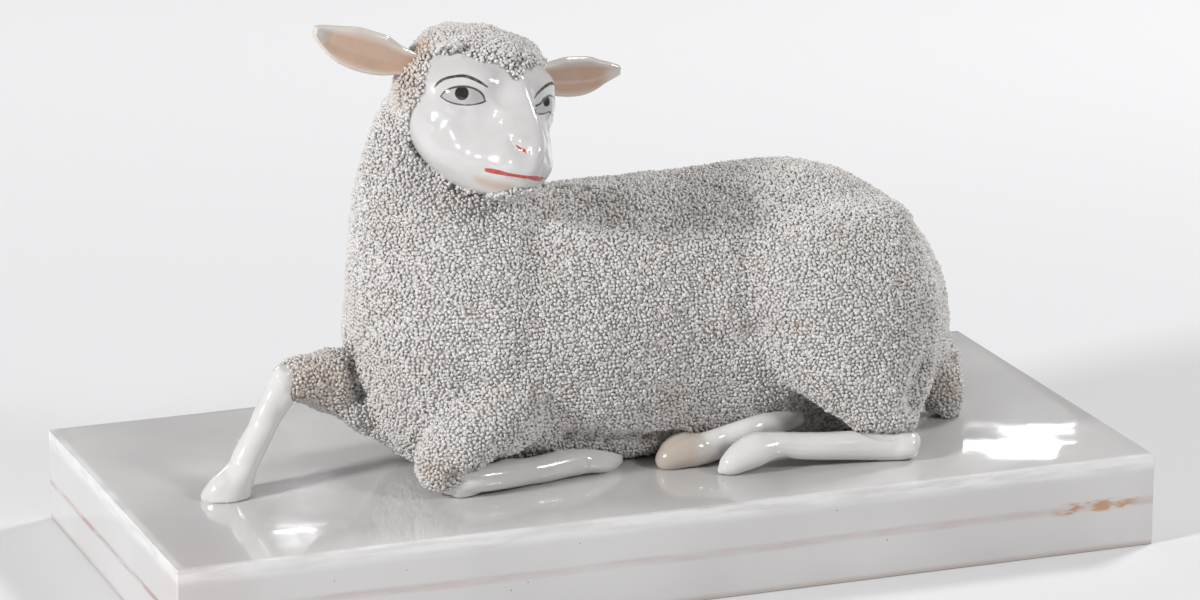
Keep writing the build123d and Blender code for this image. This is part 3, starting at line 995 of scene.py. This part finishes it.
# Painted distance, colour and strength of each layer, in the order of painting
face_layers = (
    ("eye_gap", (0.42, 0.415, 0.41, 1), 0.85),
    ("pupil_gap", (0.020, 0.016, 0.015, 1), 1.3),
    ("lid_gap", (0.075, 0.068, 0.066, 1), 1.0),
    ("brow_gap", (0.055, 0.043, 0.040, 1), 1.0),
    ("red_gap", (0.44, 0.050, 0.032, 1), 1.15),
)
soft_edge_mm = (0.06, -0.10)


def face_glaze():
    """White glaze with the painted brows, eyes, nostrils and mouth, and painted shade under the fleece."""
    material, tree, shader = new_material("face_glaze")
    colour = white_glaze_nodes(tree, shader, (0.61, 0.598, 0.593, 1), (0.55, 0.537, 0.532, 1))
    uneven = noise(tree, object_place(tree), 700.0)
    colour = mix_colour(tree, times(tree, painted(tree, "tan_wash"), 0.7), colour, (0.52, 0.38, 0.28, 1))
    for name, paint_colour, strength in face_layers:
        mask = ramped(tree, painted(tree, name), *soft_edge_mm)
        thin = ramped(tree, uneven, 0.2, 0.6, min(0.75 * strength, 1.0), min(strength, 1.0))
        colour = mix_colour(tree, times(tree, mask, thin), colour, paint_colour)
    # Painted shade: under the fleece the head is dark, for the shaded gaps between the crumbs
    shade_under_fleece = (0.22, 0.20, 0.185, 1)
    feed(tree, shader, {"Base Color": mix_colour(tree, painted(tree, "bare"), shade_under_fleece, colour)})
    return material


face.data.materials.append(face_glaze())

# %% [markdown]
# An ear is a thin leaf of clay with a dished inside. It starts as a grid, one row of points across the ear
# for each place along it. Each row is drawn to the ear's width there, the middle is pressed in, and the
# leaf then gets its thickness and is rounded. The inside carries a pinkish tan wash that stays off the rim
# and the tip.

# %% Ears
# Root of each ear, and the way from there to its tip, in millimetres across, forwards and up
ear_roots = {"left": (18.5, -3.4, 8.9), "right": (18.5, -3.4, 7.6)}
ear_ways = {"left": (37.95, -9.39, 4.68), "right": (32.6, -9.43, 4.43)}
# Place along the ear, and its reach to the upper and lower edge, in millimetres
ear_rows_mm = [(0.0, 2.2, 3.0), (0.22, 2.8, 4.9), (0.30, 3.4, 6.0), (0.39, 4.0, 6.7), (0.50, 4.1, 7.1),
               (0.61, 3.9, 7.1), (0.70, 3.5, 6.7), (0.805, 2.8, 5.6), (0.90, 2.0, 3.8), (0.96, 1.3, 2.2),
               (1.0, 0.8, 0.9)]
ear_columns = 25
ear_crosses = 13
ear_dish = 2.6 * MM
ear_dish_reach = 6 * MM
ear_thickness = 2.2 * MM


def flat_leaf(name, length):
    """A leaf in the flat, its length along X: gives it with each point's place along and across it."""
    deselect()
    bpy.ops.mesh.primitive_grid_add(x_subdivisions=ear_columns - 1, y_subdivisions=ear_crosses - 1, size=1.0)
    leaf = bpy.context.object
    leaf.name = name
    along, across = places_of(leaf)[:, 0] + 0.5, places_of(leaf)[:, 1]
    shares, upper, lower = np.array(ear_rows_mm).T
    for share in np.unique(np.round(along, 4)):
        reach_up, reach_down = np.interp(share, shares, upper), np.interp(share, shares, lower)
        pick_vertices(leaf, np.flatnonzero(np.abs(along - share) < 0.001))
        width = (reach_up + reach_down) * MM
        bpy.ops.transform.resize(value=(1, width, 1), center_override=(0, 0, 0), use_proportional_edit=False)
        shift = (share * length - share + 0.5, (reach_up - reach_down) / 2 * MM, 0)
        bpy.ops.transform.translate(value=shift, use_proportional_edit=False)
        leave_edit()
    return leaf, along, across


def leaf_ear(which, side):
    """A leaf that is dished, thickened and rounded, with the wash painted inside, and set on the head."""
    ear, along, across = flat_leaf(f"{which}_ear_leaf", Vector(ear_ways[which]).length * MM)
    middle = (np.abs(across + 0.12) < 0.06) & (along > 0.1) & (along < 0.86)
    pick_vertices(ear, np.flatnonzero(middle))
    bpy.ops.transform.translate(
        value=(0, 0, -ear_dish), use_proportional_edit=True, proportional_edit_falloff="ROOT",
        proportional_size=ear_dish_reach,
    )
    leave_edit()
    shaped_by(ear, "SOLIDIFY", thickness=ear_thickness, offset=-1.0, use_even_offset=True)
    edge = (np.abs(across) > 0.49) | (along < 0.02) | (along > 0.98)
    wash = np.clip(2.6 - 5.4 * np.abs(across + 0.04), 0, 1) * np.clip((0.97 - along) / 0.16, 0, 1)
    wash[edge] = 0.0
    paint(ear, "wash", np.pad(wash, (0, len(ear.data.vertices) - len(wash))))
    shaped_by(ear, "SUBSURF", levels=2, render_levels=2)
    root_across, *root_rest = ear_roots[which]
    way_across, *way_rest = ear_ways[which]
    way = (in_head(side * way_across, *way_rest) - head_middle).normalized()
    width_way = head_forwards.cross(way).normalized() * side
    front = way.cross(width_way) * side
    turn = Matrix((way, width_way, front)).transposed().to_4x4()
    ear.matrix_world = Matrix.Translation(in_head(side * root_across, *root_rest)) @ turn
    only(ear)
    bpy.ops.object.transform_apply(location=True, rotation=True, scale=True)
    edit_all(ear)
    bpy.ops.mesh.normals_make_consistent(inside=False)
    leave_edit()
    smooth_shaded(ear)
    return ear


def ear_glaze():
    """White gloss outside, with a pinkish tan wash inside the ear."""
    material, tree, shader = new_material("ear_glaze")
    colour = white_glaze_nodes(tree, shader, (0.67, 0.615, 0.575, 1), (0.60, 0.54, 0.495, 1))
    streaks = noise(tree, object_place(tree), 260.0, 4.0)
    wash = mix_colour(tree, streaks, (0.57, 0.385, 0.29, 1), (0.54, 0.415, 0.335, 1))
    share = painted(tree, "wash")
    deep = times(tree, ramped(tree, share, 0.75, 1.0, 0.0, 0.5), streaks)
    wash = mix_colour(tree, deep, wash, (0.40, 0.21, 0.13, 1))
    feed(tree, shader, {"Base Color": mix_colour(tree, ramped(tree, share, 0.0, 0.8), colour, wash)})
    return material


ear_finish = ear_glaze()
for which, side in (("left", 1), ("right", -1)):
    ear = leaf_ear(which, side)
    ear.data.materials.append(ear_finish)
    settle(ear, "ear_glaze", f"{which}_ear")

# %% [markdown]
# The lower legs are rolled and pinched from strips of clay and stay bare under the white glaze. Their
# solids give the place and the depth. The thickness along each leg is drawn as a curve with a radius at
# each station, from the pixels that the leg's middle line crosses. Short curves add a dewclaw or a heel,
# and the far hind leg has one curve for its hoof and one for its shank. Solid and curves are remeshed into
# one skin and smoothed.

# %% Lower legs
# For each leg, its strips as rows of the middle's pixel, the radius there in millimetres, and for some rows
# how many millimetres nearer to the camera than the solid they lie
leg_strips = {
    "left_fore_shank": [
        [(441, 485, 2.4, 4.0), (447, 483.5, 3.5, 4.0), (470, 480, 4.0, 3.5), (492, 477, 4.1, 2.5),
         (511, 474, 4.1, 1.2), (530, 471, 4.0), (548, 468, 3.7), (562, 466.5, 3.2), (573, 466.5, 2.9),
         (586, 461.5, 3.8), (598, 463, 3.1), (608, 464.5, 2.4), (615, 464.5, 1.5), (618, 464.3, 0.6)],
        [(552, 460, 1.0), (559, 455.5, 1.9), (564, 456, 1.5), (567, 460, 0.7)],
    ],
    "left_hind_shank": [
        [(917, 444.5, 2.8, 1.0), (913, 444.8, 3.9, 1.0), (904, 445.6, 4.3, 1.0), (893, 446.5, 4.2, 0.5),
         (870, 446.3, 4.2), (845, 446, 4.2), (820, 446, 4.2), (797, 445.5, 4.1), (779, 443.5, 3.6),
         (766, 442, 3.0), (753, 444, 3.3), (742, 453, 3.9), (734, 460, 3.6), (727, 466.5, 2.7),
         (721, 470.5, 1.5), (718, 472.5, 0.6)],
        [(738, 463, 2.4), (746, 461.5, 2.9), (753, 460.5, 2.5), (757, 459.5, 1.6)],
    ],
    "right_hind_shank": [
        [(658, 462.5, 0.9), (662, 459.5, 2.4), (668, 455.5, 3.8), (676, 451, 4.8), (685, 448, 4.9),
         (693, 448, 4.2), (698, 446, 2.8), (704, 443.5, 2.4)],
        [(696, 446.5, 2.4), (703, 443.8, 3.4, 0.5), (713, 440.8, 3.4, 1.5), (722, 438, 3.5, 2.5),
         (735, 434, 3.6, 4.0), (750, 429.5, 3.7, 5.0), (768, 424, 3.8, 5.0), (786, 419.5, 3.7, 5.0),
         (797, 417.5, 3.1, 5.0), (801, 416.5, 1.6, 5.0)],
        [(680, 456, 2.8), (689, 456, 2.8), (695, 455.5, 2.4), (698.5, 455, 1.5)],
    ],
    "right_fore_shank": [
        [(286, 369, 2.2, 0.6), (284, 374, 3.5, 0.6), (281, 383, 4.1, 0.6), (276, 396, 4.2, 0.3),
         (268, 412, 4.0), (261, 427, 3.7), (254, 442, 3.4), (247, 456, 3.1), (240, 468, 3.4), (232, 478, 4.1),
         (225, 487, 4.7), (217, 492.5, 4.3), (208, 497, 2.9), (202, 500, 1.4)],
    ],
}
leg_reach_px = 14
leg_least_points = 20
leg_voxel = 0.5 * MM
flesh_px = (676, 450)
flesh_reach = 12 * MM
flesh_fade = 5 * MM


def in_leg(node_name, x_px, y_px):
    """The middle of a leg behind a pixel, at the depth of its solid there."""
    solid = places_of(frame["nodes"][node_name])
    away = lengths(to_pixels(solid) - (x_px, y_px))
    near = away < max(leg_reach_px, np.sort(away)[leg_least_points])
    depth = ((solid[near] - np.array(view_point)) @ -np.array(view_back)).mean()
    ray = photo_ray(x_px, y_px)
    return view_point + ray * (depth / ray.dot(-view_back))


def rolled_strip(node_name, rows):
    """A strip of clay through the stations of a leg, as a mesh with the given radii."""
    path = bpy.data.curves.new(f"{node_name}_strip", "CURVE")
    path.dimensions = "3D"
    path.bevel_depth = 1.0
    path.bevel_resolution = 5
    path.use_fill_caps = True
    line = path.splines.new("BEZIER")
    line.bezier_points.add(len(rows) - 1)
    for point, (x_px, y_px, radius, *nearer) in zip(line.bezier_points, rows):
        point.co = in_leg(node_name, x_px, y_px) - photo_ray(x_px, y_px) * sum(nearer) * MM
        point.radius = radius * MM
        point.handle_left_type = "AUTO"
        point.handle_right_type = "AUTO"
    strip = bpy.data.objects.new(path.name, path)
    bpy.context.collection.objects.link(strip)
    only(strip)
    bpy.ops.object.convert(target="MESH")
    return bpy.context.object


def shank_glaze():
    """White glaze of the legs, set paler than the face's as painted light, with the flesh wash of the far
    hind hoof.
    """
    material, tree, shader = new_material("shank_glaze")
    # The legs' tone is paler than the face's: painted light on the same white glaze
    colour = white_glaze_nodes(tree, shader, (0.72, 0.706, 0.694, 1), (0.655, 0.638, 0.626, 1))
    flesh = times(tree, painted(tree, "flesh"), 0.85)
    feed(tree, shader, {"Base Color": mix_colour(tree, flesh, colour, (0.44, 0.37, 0.305, 1))})
    return material


shank_finish_painted_paler = shank_glaze()
for name, strips in leg_strips.items():
    shank = clay_copy(f"{name}_glazed", name)
    join_to(shank, [rolled_strip(name, rows) for rows in strips])
    shaped_by(shank, "REMESH", mode="VOXEL", voxel_size=leg_voxel)
    shaped_by(shank, "SMOOTH", factor=0.5, iterations=4)
    flesh = np.zeros(len(shank.data.vertices))
    if name == "right_hind_shank":
        gap = lengths(places_of(shank) - np.array(in_leg(name, *flesh_px)))
        flesh = np.clip((flesh_reach - gap) / flesh_fade, 0, 1)
    paint(shank, "flesh", flesh)
    smooth_shaded(shank)
    shank.data.materials.append(shank_finish_painted_paler)
    settle(shank, "white_glaze", name)

# %% [markdown]
# The fleece is clay pushed through a sieve and pressed on as crumbs. Under it lies one skin: copies of the
# woolly solids are joined, plugged where the hollow inside opens, and remeshed, so that the trunk, the
# legs, the tail and the crown run into each other. The skin is then drawn in by most of a crumb, to leave
# room for the coat.

# %% Fleece ground
woolly_nodes = ("body_left_half", "body_right_half", "left_forearm", "right_forearm", "tail", "crown_fleece")
neck_plug = {"radius": 19 * MM, "location": Vector((-41, 4, 118)) * MM}
vent_plug = {"radius": 5 * MM, "depth": 6 * MM, "location": Vector((8, 0, 31.5)) * MM}
ground_voxel = 1.3 * MM
coat_room = -1.4 * MM
# Clay added at the reaching leg, at the hock and at the tail: pixels and a radius in millimetres
added_clay = {
    "right_forearm": [(326, 392, 3.2), (340, 400, 5.2), (354, 409, 5.8), (370, 423, 5.0), (382, 435, 3.0)],
    "left_hind_shank": [(893, 396, 4.8), (901, 409, 4.6), (906, 419, 4.4), (908, 427, 3.6)],
    "tail": [(936, 392, 5.0), (942, 400, 6.2), (946, 406, 5.6), (941, 408, 5.0)],
}

ground = clay_copy("fleece_ground", *woolly_nodes)
bpy.ops.mesh.primitive_ico_sphere_add(subdivisions=3, **neck_plug)
fillings = [bpy.context.object]
bpy.ops.mesh.primitive_cylinder_add(**vent_plug)
fillings.append(bpy.context.object)
fillings += [rolled_strip(node_name, rows) for node_name, rows in added_clay.items()]
fillings.append(twin_of(face, "head_fill"))
join_to(ground, fillings)
ground.data.materials.clear()
shaped_by(ground, "REMESH", mode="VOXEL", voxel_size=ground_voxel)
shaped_by(ground, "SMOOTH", factor=0.5, iterations=7)
shaped_by(ground, "DISPLACE", strength=coat_room, mid_level=0.0)
squeeze_crown(ground, most_forwards=head_reach)
print("fleece ground:", len(ground.data.polygons), "faces")

# %% [markdown]
# The coat has creases, where the limbs meet the trunk and under the belly. They are pressed in along the
# pixels that show them. The back dips behind the head and is rubbed smooth there, where the two halves of
# the body meet. A cloud texture then makes the whole skin uneven.

# %% Creases of the fleece
# Pixels along each crease, and its depth and reach in millimetres
creases = (
    ([(350, 346), (351, 356), (352, 366), (354, 376), (356, 386), (359, 396)], 4.4, 3.2),
    ([(742, 205), (745, 225), (748, 250), (750, 275), (755, 300), (762, 325)], 2.2, 9),
    ([(480, 310), (476, 340), (472, 365), (469, 388)], 1.2, 8),
    ([(926, 368), (921, 380), (917, 392), (916, 402)], 4.2, 7),
    ([(455, 478), (470, 474), (485, 470), (500, 467)], 2.5, 4.5),
    ([(872, 436), (884, 438), (896, 438)], 3.0, 5),
    ([(954, 346), (956, 358)], 2.0, 6),
    ([(801, 398), (810, 408), (820, 416), (832, 422)], 4.5, 6),
    ([(570, 438), (590, 440), (610, 441), (630, 441), (650, 441), (666, 439)], 3.4, 7),
)
back_dip_px = ((556, 179), (568, 177), (580, 176), (592, 175), (604, 174))
back_dip = 3.4 * MM
back_dip_reach = 15 * MM
behind_head_px = (580, 182)
behind_head_reach = 16 * MM
fleece_wobble = {"size": 8 * MM, "strength": 0.9 * MM, "midlevel": 0.5}


def rub(piece, chosen, repeats):
    """Rubs some vertices smooth."""
    pick_vertices(piece, np.flatnonzero(chosen))
    bpy.ops.mesh.vertices_smooth(factor=0.5, repeat=repeats)
    leave_edit()


for pixels, depth, reach in creases:
    press(ground, [on_skin(ground, *pixel) for pixel in pixels], -depth * MM, reach * MM)
dip_points = [on_skin(ground, *pixel) for pixel in back_dip_px]
press(ground, dip_points, back_dip, back_dip_reach, way=(0, 0, -1))
behind_head = np.array(on_skin(ground, *behind_head_px))
rub(ground, lengths(places_of(ground) - behind_head) < behind_head_reach, repeats=40)
cloudy(ground, **fleece_wobble)
print("creases:", len(creases), "and the dip of the back")

# %% [markdown]
# The skin must not show in front of the bare face. Where it lies under the face, up to a little past the
# hairline, it is tucked in. Two ledges are rubbed smooth, and what then still stands in front of the
# forehead goes back into the head.

# %% Room for the bare face
face_middle_px = np.array((490, 125))
wider_share = 1.06
tuck_depth = 3.4 * MM
tuck_lowest = -27 * MM
# Parts of the skin, as rings of pixels, whose ledges are rubbed smooth
rubbed_rings = (
    [(785, 190), (815, 165), (890, 180), (935, 240), (945, 300), (900, 290), (860, 235), (790, 235)],
    [(395, 70), (405, 35), (440, 15), (520, 20), (560, 70), (530, 62), (500, 70), (440, 62)],
)
far_forehead = 12 * MM
overhang_least = -0.5 * MM
overhang_back = 5 * MM


def height_over(piece, place):
    """How far a place lies outside a piece, negative inside it."""
    hit, nearest, normal, index = piece.closest_point_on_mesh(Vector(place))
    return (Vector(place) - nearest).dot(normal)


ground_places = places_of(ground)
ground_local = in_head_terms(ground_places)
wider_ring = face_middle_px + (hairline_px - face_middle_px) * wider_share
under_face = bare_of_fleece(ground_places, normals_of(ground), wider_ring)
under_face &= (lengths(ground_local) < head_reach) & (ground_local[:, 2] > tuck_lowest)
pick_vertices(ground, np.flatnonzero(under_face))
bpy.ops.transform.shrink_fatten(value=-tuck_depth, use_proportional_edit=False)
leave_edit()
facing = towards_camera(ground_places, normals_of(ground))
for ring in rubbed_rings:
    rub(ground, inside_ring(to_pixels(ground_places), np.array(ring)) & facing, repeats=25)

ground_places = places_of(ground)
ground_local = in_head_terms(ground_places)
overhang = inside_ring(to_pixels(mirror_places(ground_places)), hairline_px)
overhang &= ground_local[:, 0] > far_forehead
overhang |= inside_ring(to_pixels(ground_places), hairline_px)
overhang &= (ground_local[:, 1:] > 0).all(axis=1) & (lengths(ground_local) < head_reach)
for index in np.flatnonzero(overhang):
    overhang[index] = height_over(face, ground_places[index]) > overhang_least
pick_vertices(ground, np.flatnonzero(overhang))
bpy.ops.transform.translate(value=-overhang_back * head_forwards, use_proportional_edit=False)
leave_edit()
smooth_shaded(ground)
print("tucked in:", int(under_face.sum()), "vertices, put back:", int(overhang.sum()))

# %% [markdown]
# There are over forty thousand crumbs, so they are scattered by a geometry node graph and not set by hand.
# It throws points on the skin that keep their distance, puts one of four knobbly grains on each, turned and
# sized by chance with a fixed seed, and gives each grain its own tint.

# %% Grains
grain_kinds = 4
grain_box = bpy.data.collections.new("grains")
bpy.context.scene.collection.children.link(grain_box)


def knobbly_grain(number):
    """A twenty-faced grain with its corners pulled about."""
    deselect()
    bpy.ops.mesh.primitive_ico_sphere_add(subdivisions=1, radius=1.0)
    grain = bpy.context.object
    grain.name = f"grain_{number}"
    edit_all(grain)
    bpy.ops.transform.vertex_random(offset=0.42, uniform=0.4, normal=0.3, seed=number)
    leave_edit()
    smooth_shaded(grain)
    return grain


for number in range(grain_kinds):
    grain = knobbly_grain(number)
    for collection in list(grain.users_collection):
        collection.objects.unlink(grain)
    grain_box.objects.link(grain)

# %% Graph of the coat
crumb_radius = 0.66 * MM
crumb_spacing = 0.80 * MM
crumb_size_shares = (0.65, 1.3)
crumb_crowding = 2.4
crumb_lift = (0.22 * MM, 0.52 * MM)
hairline_lift = (-0.1 * MM, 0.6 * MM)


def by_chance(tree, inputs, kind="FLOAT_VECTOR"):
    """A random value for each point."""
    return node(tree, "FunctionNodeRandomValue", inputs, data_type=kind).outputs


def crumb_coat_tree(lift):
    """Graph that turns the woolly faces of a skin into a coat of grains, lifted off it by chance."""
    tree = bpy.data.node_groups.new("crumb_coat", "GeometryNodeTree")
    tree.interface.new_socket("Skin", in_out="INPUT", socket_type="NodeSocketGeometry")
    tree.interface.new_socket("Coat", in_out="OUTPUT", socket_type="NodeSocketGeometry")
    skin = tree.nodes.new("NodeGroupInput").outputs["Skin"]
    chosen = node(tree, "GeometryNodeInputNamedAttribute", {"Name": "woolly"}, data_type="BOOLEAN")
    points = node(tree, "GeometryNodeDistributePointsOnFaces", {
        "Mesh": skin, "Selection": chosen.outputs["Attribute"], "Distance Min": crumb_spacing,
        "Density Max": crumb_crowding / crumb_spacing**2, "Seed": 7,
    }, distribute_method="POISSON").outputs
    kinds = node(tree, "GeometryNodeCollectionInfo",
                 {"Collection": grain_box, "Separate Children": True, "Reset Children": True})
    rise = by_chance(tree, {2: lift[0], 3: lift[1], "Seed": 4}, "FLOAT")[1]
    raised = node(tree, "ShaderNodeVectorMath", {0: points["Normal"], "Scale": rise}, operation="SCALE")
    lifted = node(tree, "GeometryNodeSetPosition",
                  {"Geometry": points["Points"], "Offset": raised.outputs["Vector"]})
    least, most = [(share * crumb_radius,) * 3 for share in crumb_size_shares]
    grains = node(tree, "GeometryNodeInstanceOnPoints", {
        "Points": lifted.outputs["Geometry"], "Instance": kinds.outputs["Instances"], "Pick Instance": True,
        "Rotation": by_chance(tree, {1: (2 * math.pi,) * 3, "Seed": 1})[0],
        "Scale": by_chance(tree, {0: least, 1: most, "Seed": 2})[0],
    })
    tinted = node(tree, "GeometryNodeStoreNamedAttribute", {
        "Geometry": grains.outputs["Instances"], "Name": "crumb_tint",
        "Value": by_chance(tree, {"Seed": 3}, "FLOAT")[1],
    }, domain="INSTANCE", data_type="FLOAT")
    whole = node(tree, "GeometryNodeRealizeInstances", {"Geometry": tinted.outputs["Geometry"]})
    feed(tree, tree.nodes.new("NodeGroupOutput"), {"Coat": whole.outputs["Geometry"]})
    return tree


# %% [markdown]
# The crumbs go on every face of the skin that shows: not on the underside that lies on the plinth, and not
# inside the head. The coat is cut into patches along the body, so that no mesh grows too large. A last
# patch sits on the head itself, between the hairline and the edge of the skin.

# %% Coat of crumbs, in patches
# Start and end of each patch along X, in millimetres
patch_edges_mm = {
    "chest": (-130, -54), "shoulder": (-54, -22), "flank": (-22, 28), "rump": (28, 70), "haunch": (70, 130),
}
seat_height = 0.3 * MM
belly_height = 4 * MM
buried_in_head = -0.45 * MM
buried_in_ground = -0.8 * MM
centres = rows_of(ground.data.polygons, "center")
normals = rows_of(ground.data.polygons, "normal")
over_plinth = centres[:, 2] - plinth_top
woolly = (over_plinth > seat_height) & ((normals[:, 2] > -0.95) | (over_plinth > belly_height))
for index in np.flatnonzero(lengths(centres - np.array(head_middle)) < head_reach):
    woolly[index] &= height_over(face, centres[index]) >= buried_in_head
print("woolly faces:", int(woolly.sum()), "of", len(woolly))


def crumb_coat(skin, name, chosen, graph):
    """A coat of crumbs on the chosen faces of a skin."""
    coat = twin_of(skin, name)
    layer = coat.data.attributes.new("woolly", "BOOLEAN", "FACE")
    layer.data.foreach_set("value", chosen)
    shaped_by(coat, "NODES", node_group=graph)
    return coat


coats = []
coat_graph = crumb_coat_tree(crumb_lift)
for side_name in ("near", "far"):
    on_side = (centres[:, 1] >= 0) == (side_name == "far")
    for patch, (start, end) in patch_edges_mm.items():
        along = (centres[:, 0] >= start * MM) & (centres[:, 0] < end * MM)
        coats.append(crumb_coat(ground, f"fleece_{side_name}_{patch}", woolly & along & on_side, coat_graph))

hair_centres = rows_of(face.data.polygons, "center")
hairy = ~bare_of_fleece(hair_centres, rows_of(face.data.polygons, "normal"))
for index in np.flatnonzero(hairy):
    hairy[index] = height_over(ground, hair_centres[index]) > buried_in_ground
coats.append(crumb_coat(face, "fleece_hairline", hairy, crumb_coat_tree(hairline_lift)))
for grain in list(grain_box.objects):
    bpy.data.objects.remove(grain)

# %% [markdown]
# The crumbs are semi-matt: fired clay under a thin glaze, warm grey-white, some paler and some duller. A
# few are rust or tan, and there is a tan flush in the fleece beside the right ear. The skin under them is
# duller and darker: painted shade in the gaps between the crumbs.

# %% Fleece finish
# Tan marks in the fleece: pixel, reach in millimetres and strength
tan_marks = ((418, 52, 8, 0.7), (402, 82, 11, 0.35), (440, 470, 9, 0.22), (318, 380, 16, 0.36),
             (669, 400, 7, 0.35), (648, 432, 6, 0.4), (945, 385, 9, 0.3), (798, 325, 1.6, 0.95))


def fleece_finish(name, dull, pale):
    """Semi-matt crumbed clay between a dull and a pale tone."""
    material, tree, shader = new_material(name)
    where = object_place(tree)
    tint = painted(tree, "crumb_tint")
    colour = mix_colour(tree, tint, dull, pale)
    drift = ramped(tree, noise(tree, where, 60.0, 3.0), 0.35, 0.7)
    colour = mix_colour(tree, times(tree, drift, 0.25), colour, (0.46, 0.43, 0.40, 1))
    uneven = ramped(tree, tint, 0.0, 0.5, 0.4, 1.0)
    for x_px, y_px, reach, strength in tan_marks:
        gap = distance_to(tree, where, on_skin(ground, x_px, y_px))
        share = ramped(tree, gap, reach * MM, 0.2 * reach * MM, 0.0, strength)
        colour = mix_colour(tree, times(tree, share, uneven), colour, (0.54, 0.38, 0.26, 1))
    rust = times(tree, ramped(tree, tint, 0.992, 0.998), 0.6)
    feed(tree, shader, {
        "Base Color": mix_colour(tree, rust, colour, (0.45, 0.27, 0.16, 1)),
        "Roughness": ramped(tree, tint, 0.0, 1.0, 0.6, 0.35),
        "Normal": bumped(tree, noise(tree, where, 1800.0), strength=0.35, distance=0.2 * MM),
        "Coat Weight": 0.15, "Coat Roughness": 0.2,
    })
    return material


crumb_finish = fleece_finish("crumbed_fleece", (0.60, 0.578, 0.563, 1), (0.73, 0.708, 0.692, 1))
# Painted shade: the skin between the crumbs gets darker tones for the shaded gaps
shaded_ground_finish = fleece_finish("fleece_ground", (0.54, 0.519, 0.505, 1), (0.58, 0.558, 0.544, 1))
ground.data.materials.append(shaded_ground_finish)
settle(ground, "crumbed_fleece", *woolly_nodes)
for coat in coats:
    coat.data.materials.clear()
    coat.data.materials.append(crumb_finish)
    settle(coat, "crumbed_fleece")

# %% [markdown]
# The sweep is a plain pale floor. Its colour lifts a little towards the back: painted light, as on a lit
# paper sweep.

# %% Floor finish
def sweep_finish():
    """Matt pale paper, painted lighter towards the back."""
    material, tree, shader = new_material("paper_sweep")
    split = node(tree, "ShaderNodeSeparateXYZ", {"Vector": object_place(tree)}).outputs
    # Painted light: the paper is paler towards the back
    depth = calc(tree, "ADD", split["Y"], times(tree, split["X"], 0.2))
    paper = mix_colour(tree, ramped(tree, depth, 0.1, 0.8), (0.71, 0.71, 0.72, 1), (0.86, 0.86, 0.87, 1))
    feed(tree, shader, {"Base Color": paper, "Roughness": 0.9})
    return material


floor.data.materials.append(sweep_finish())
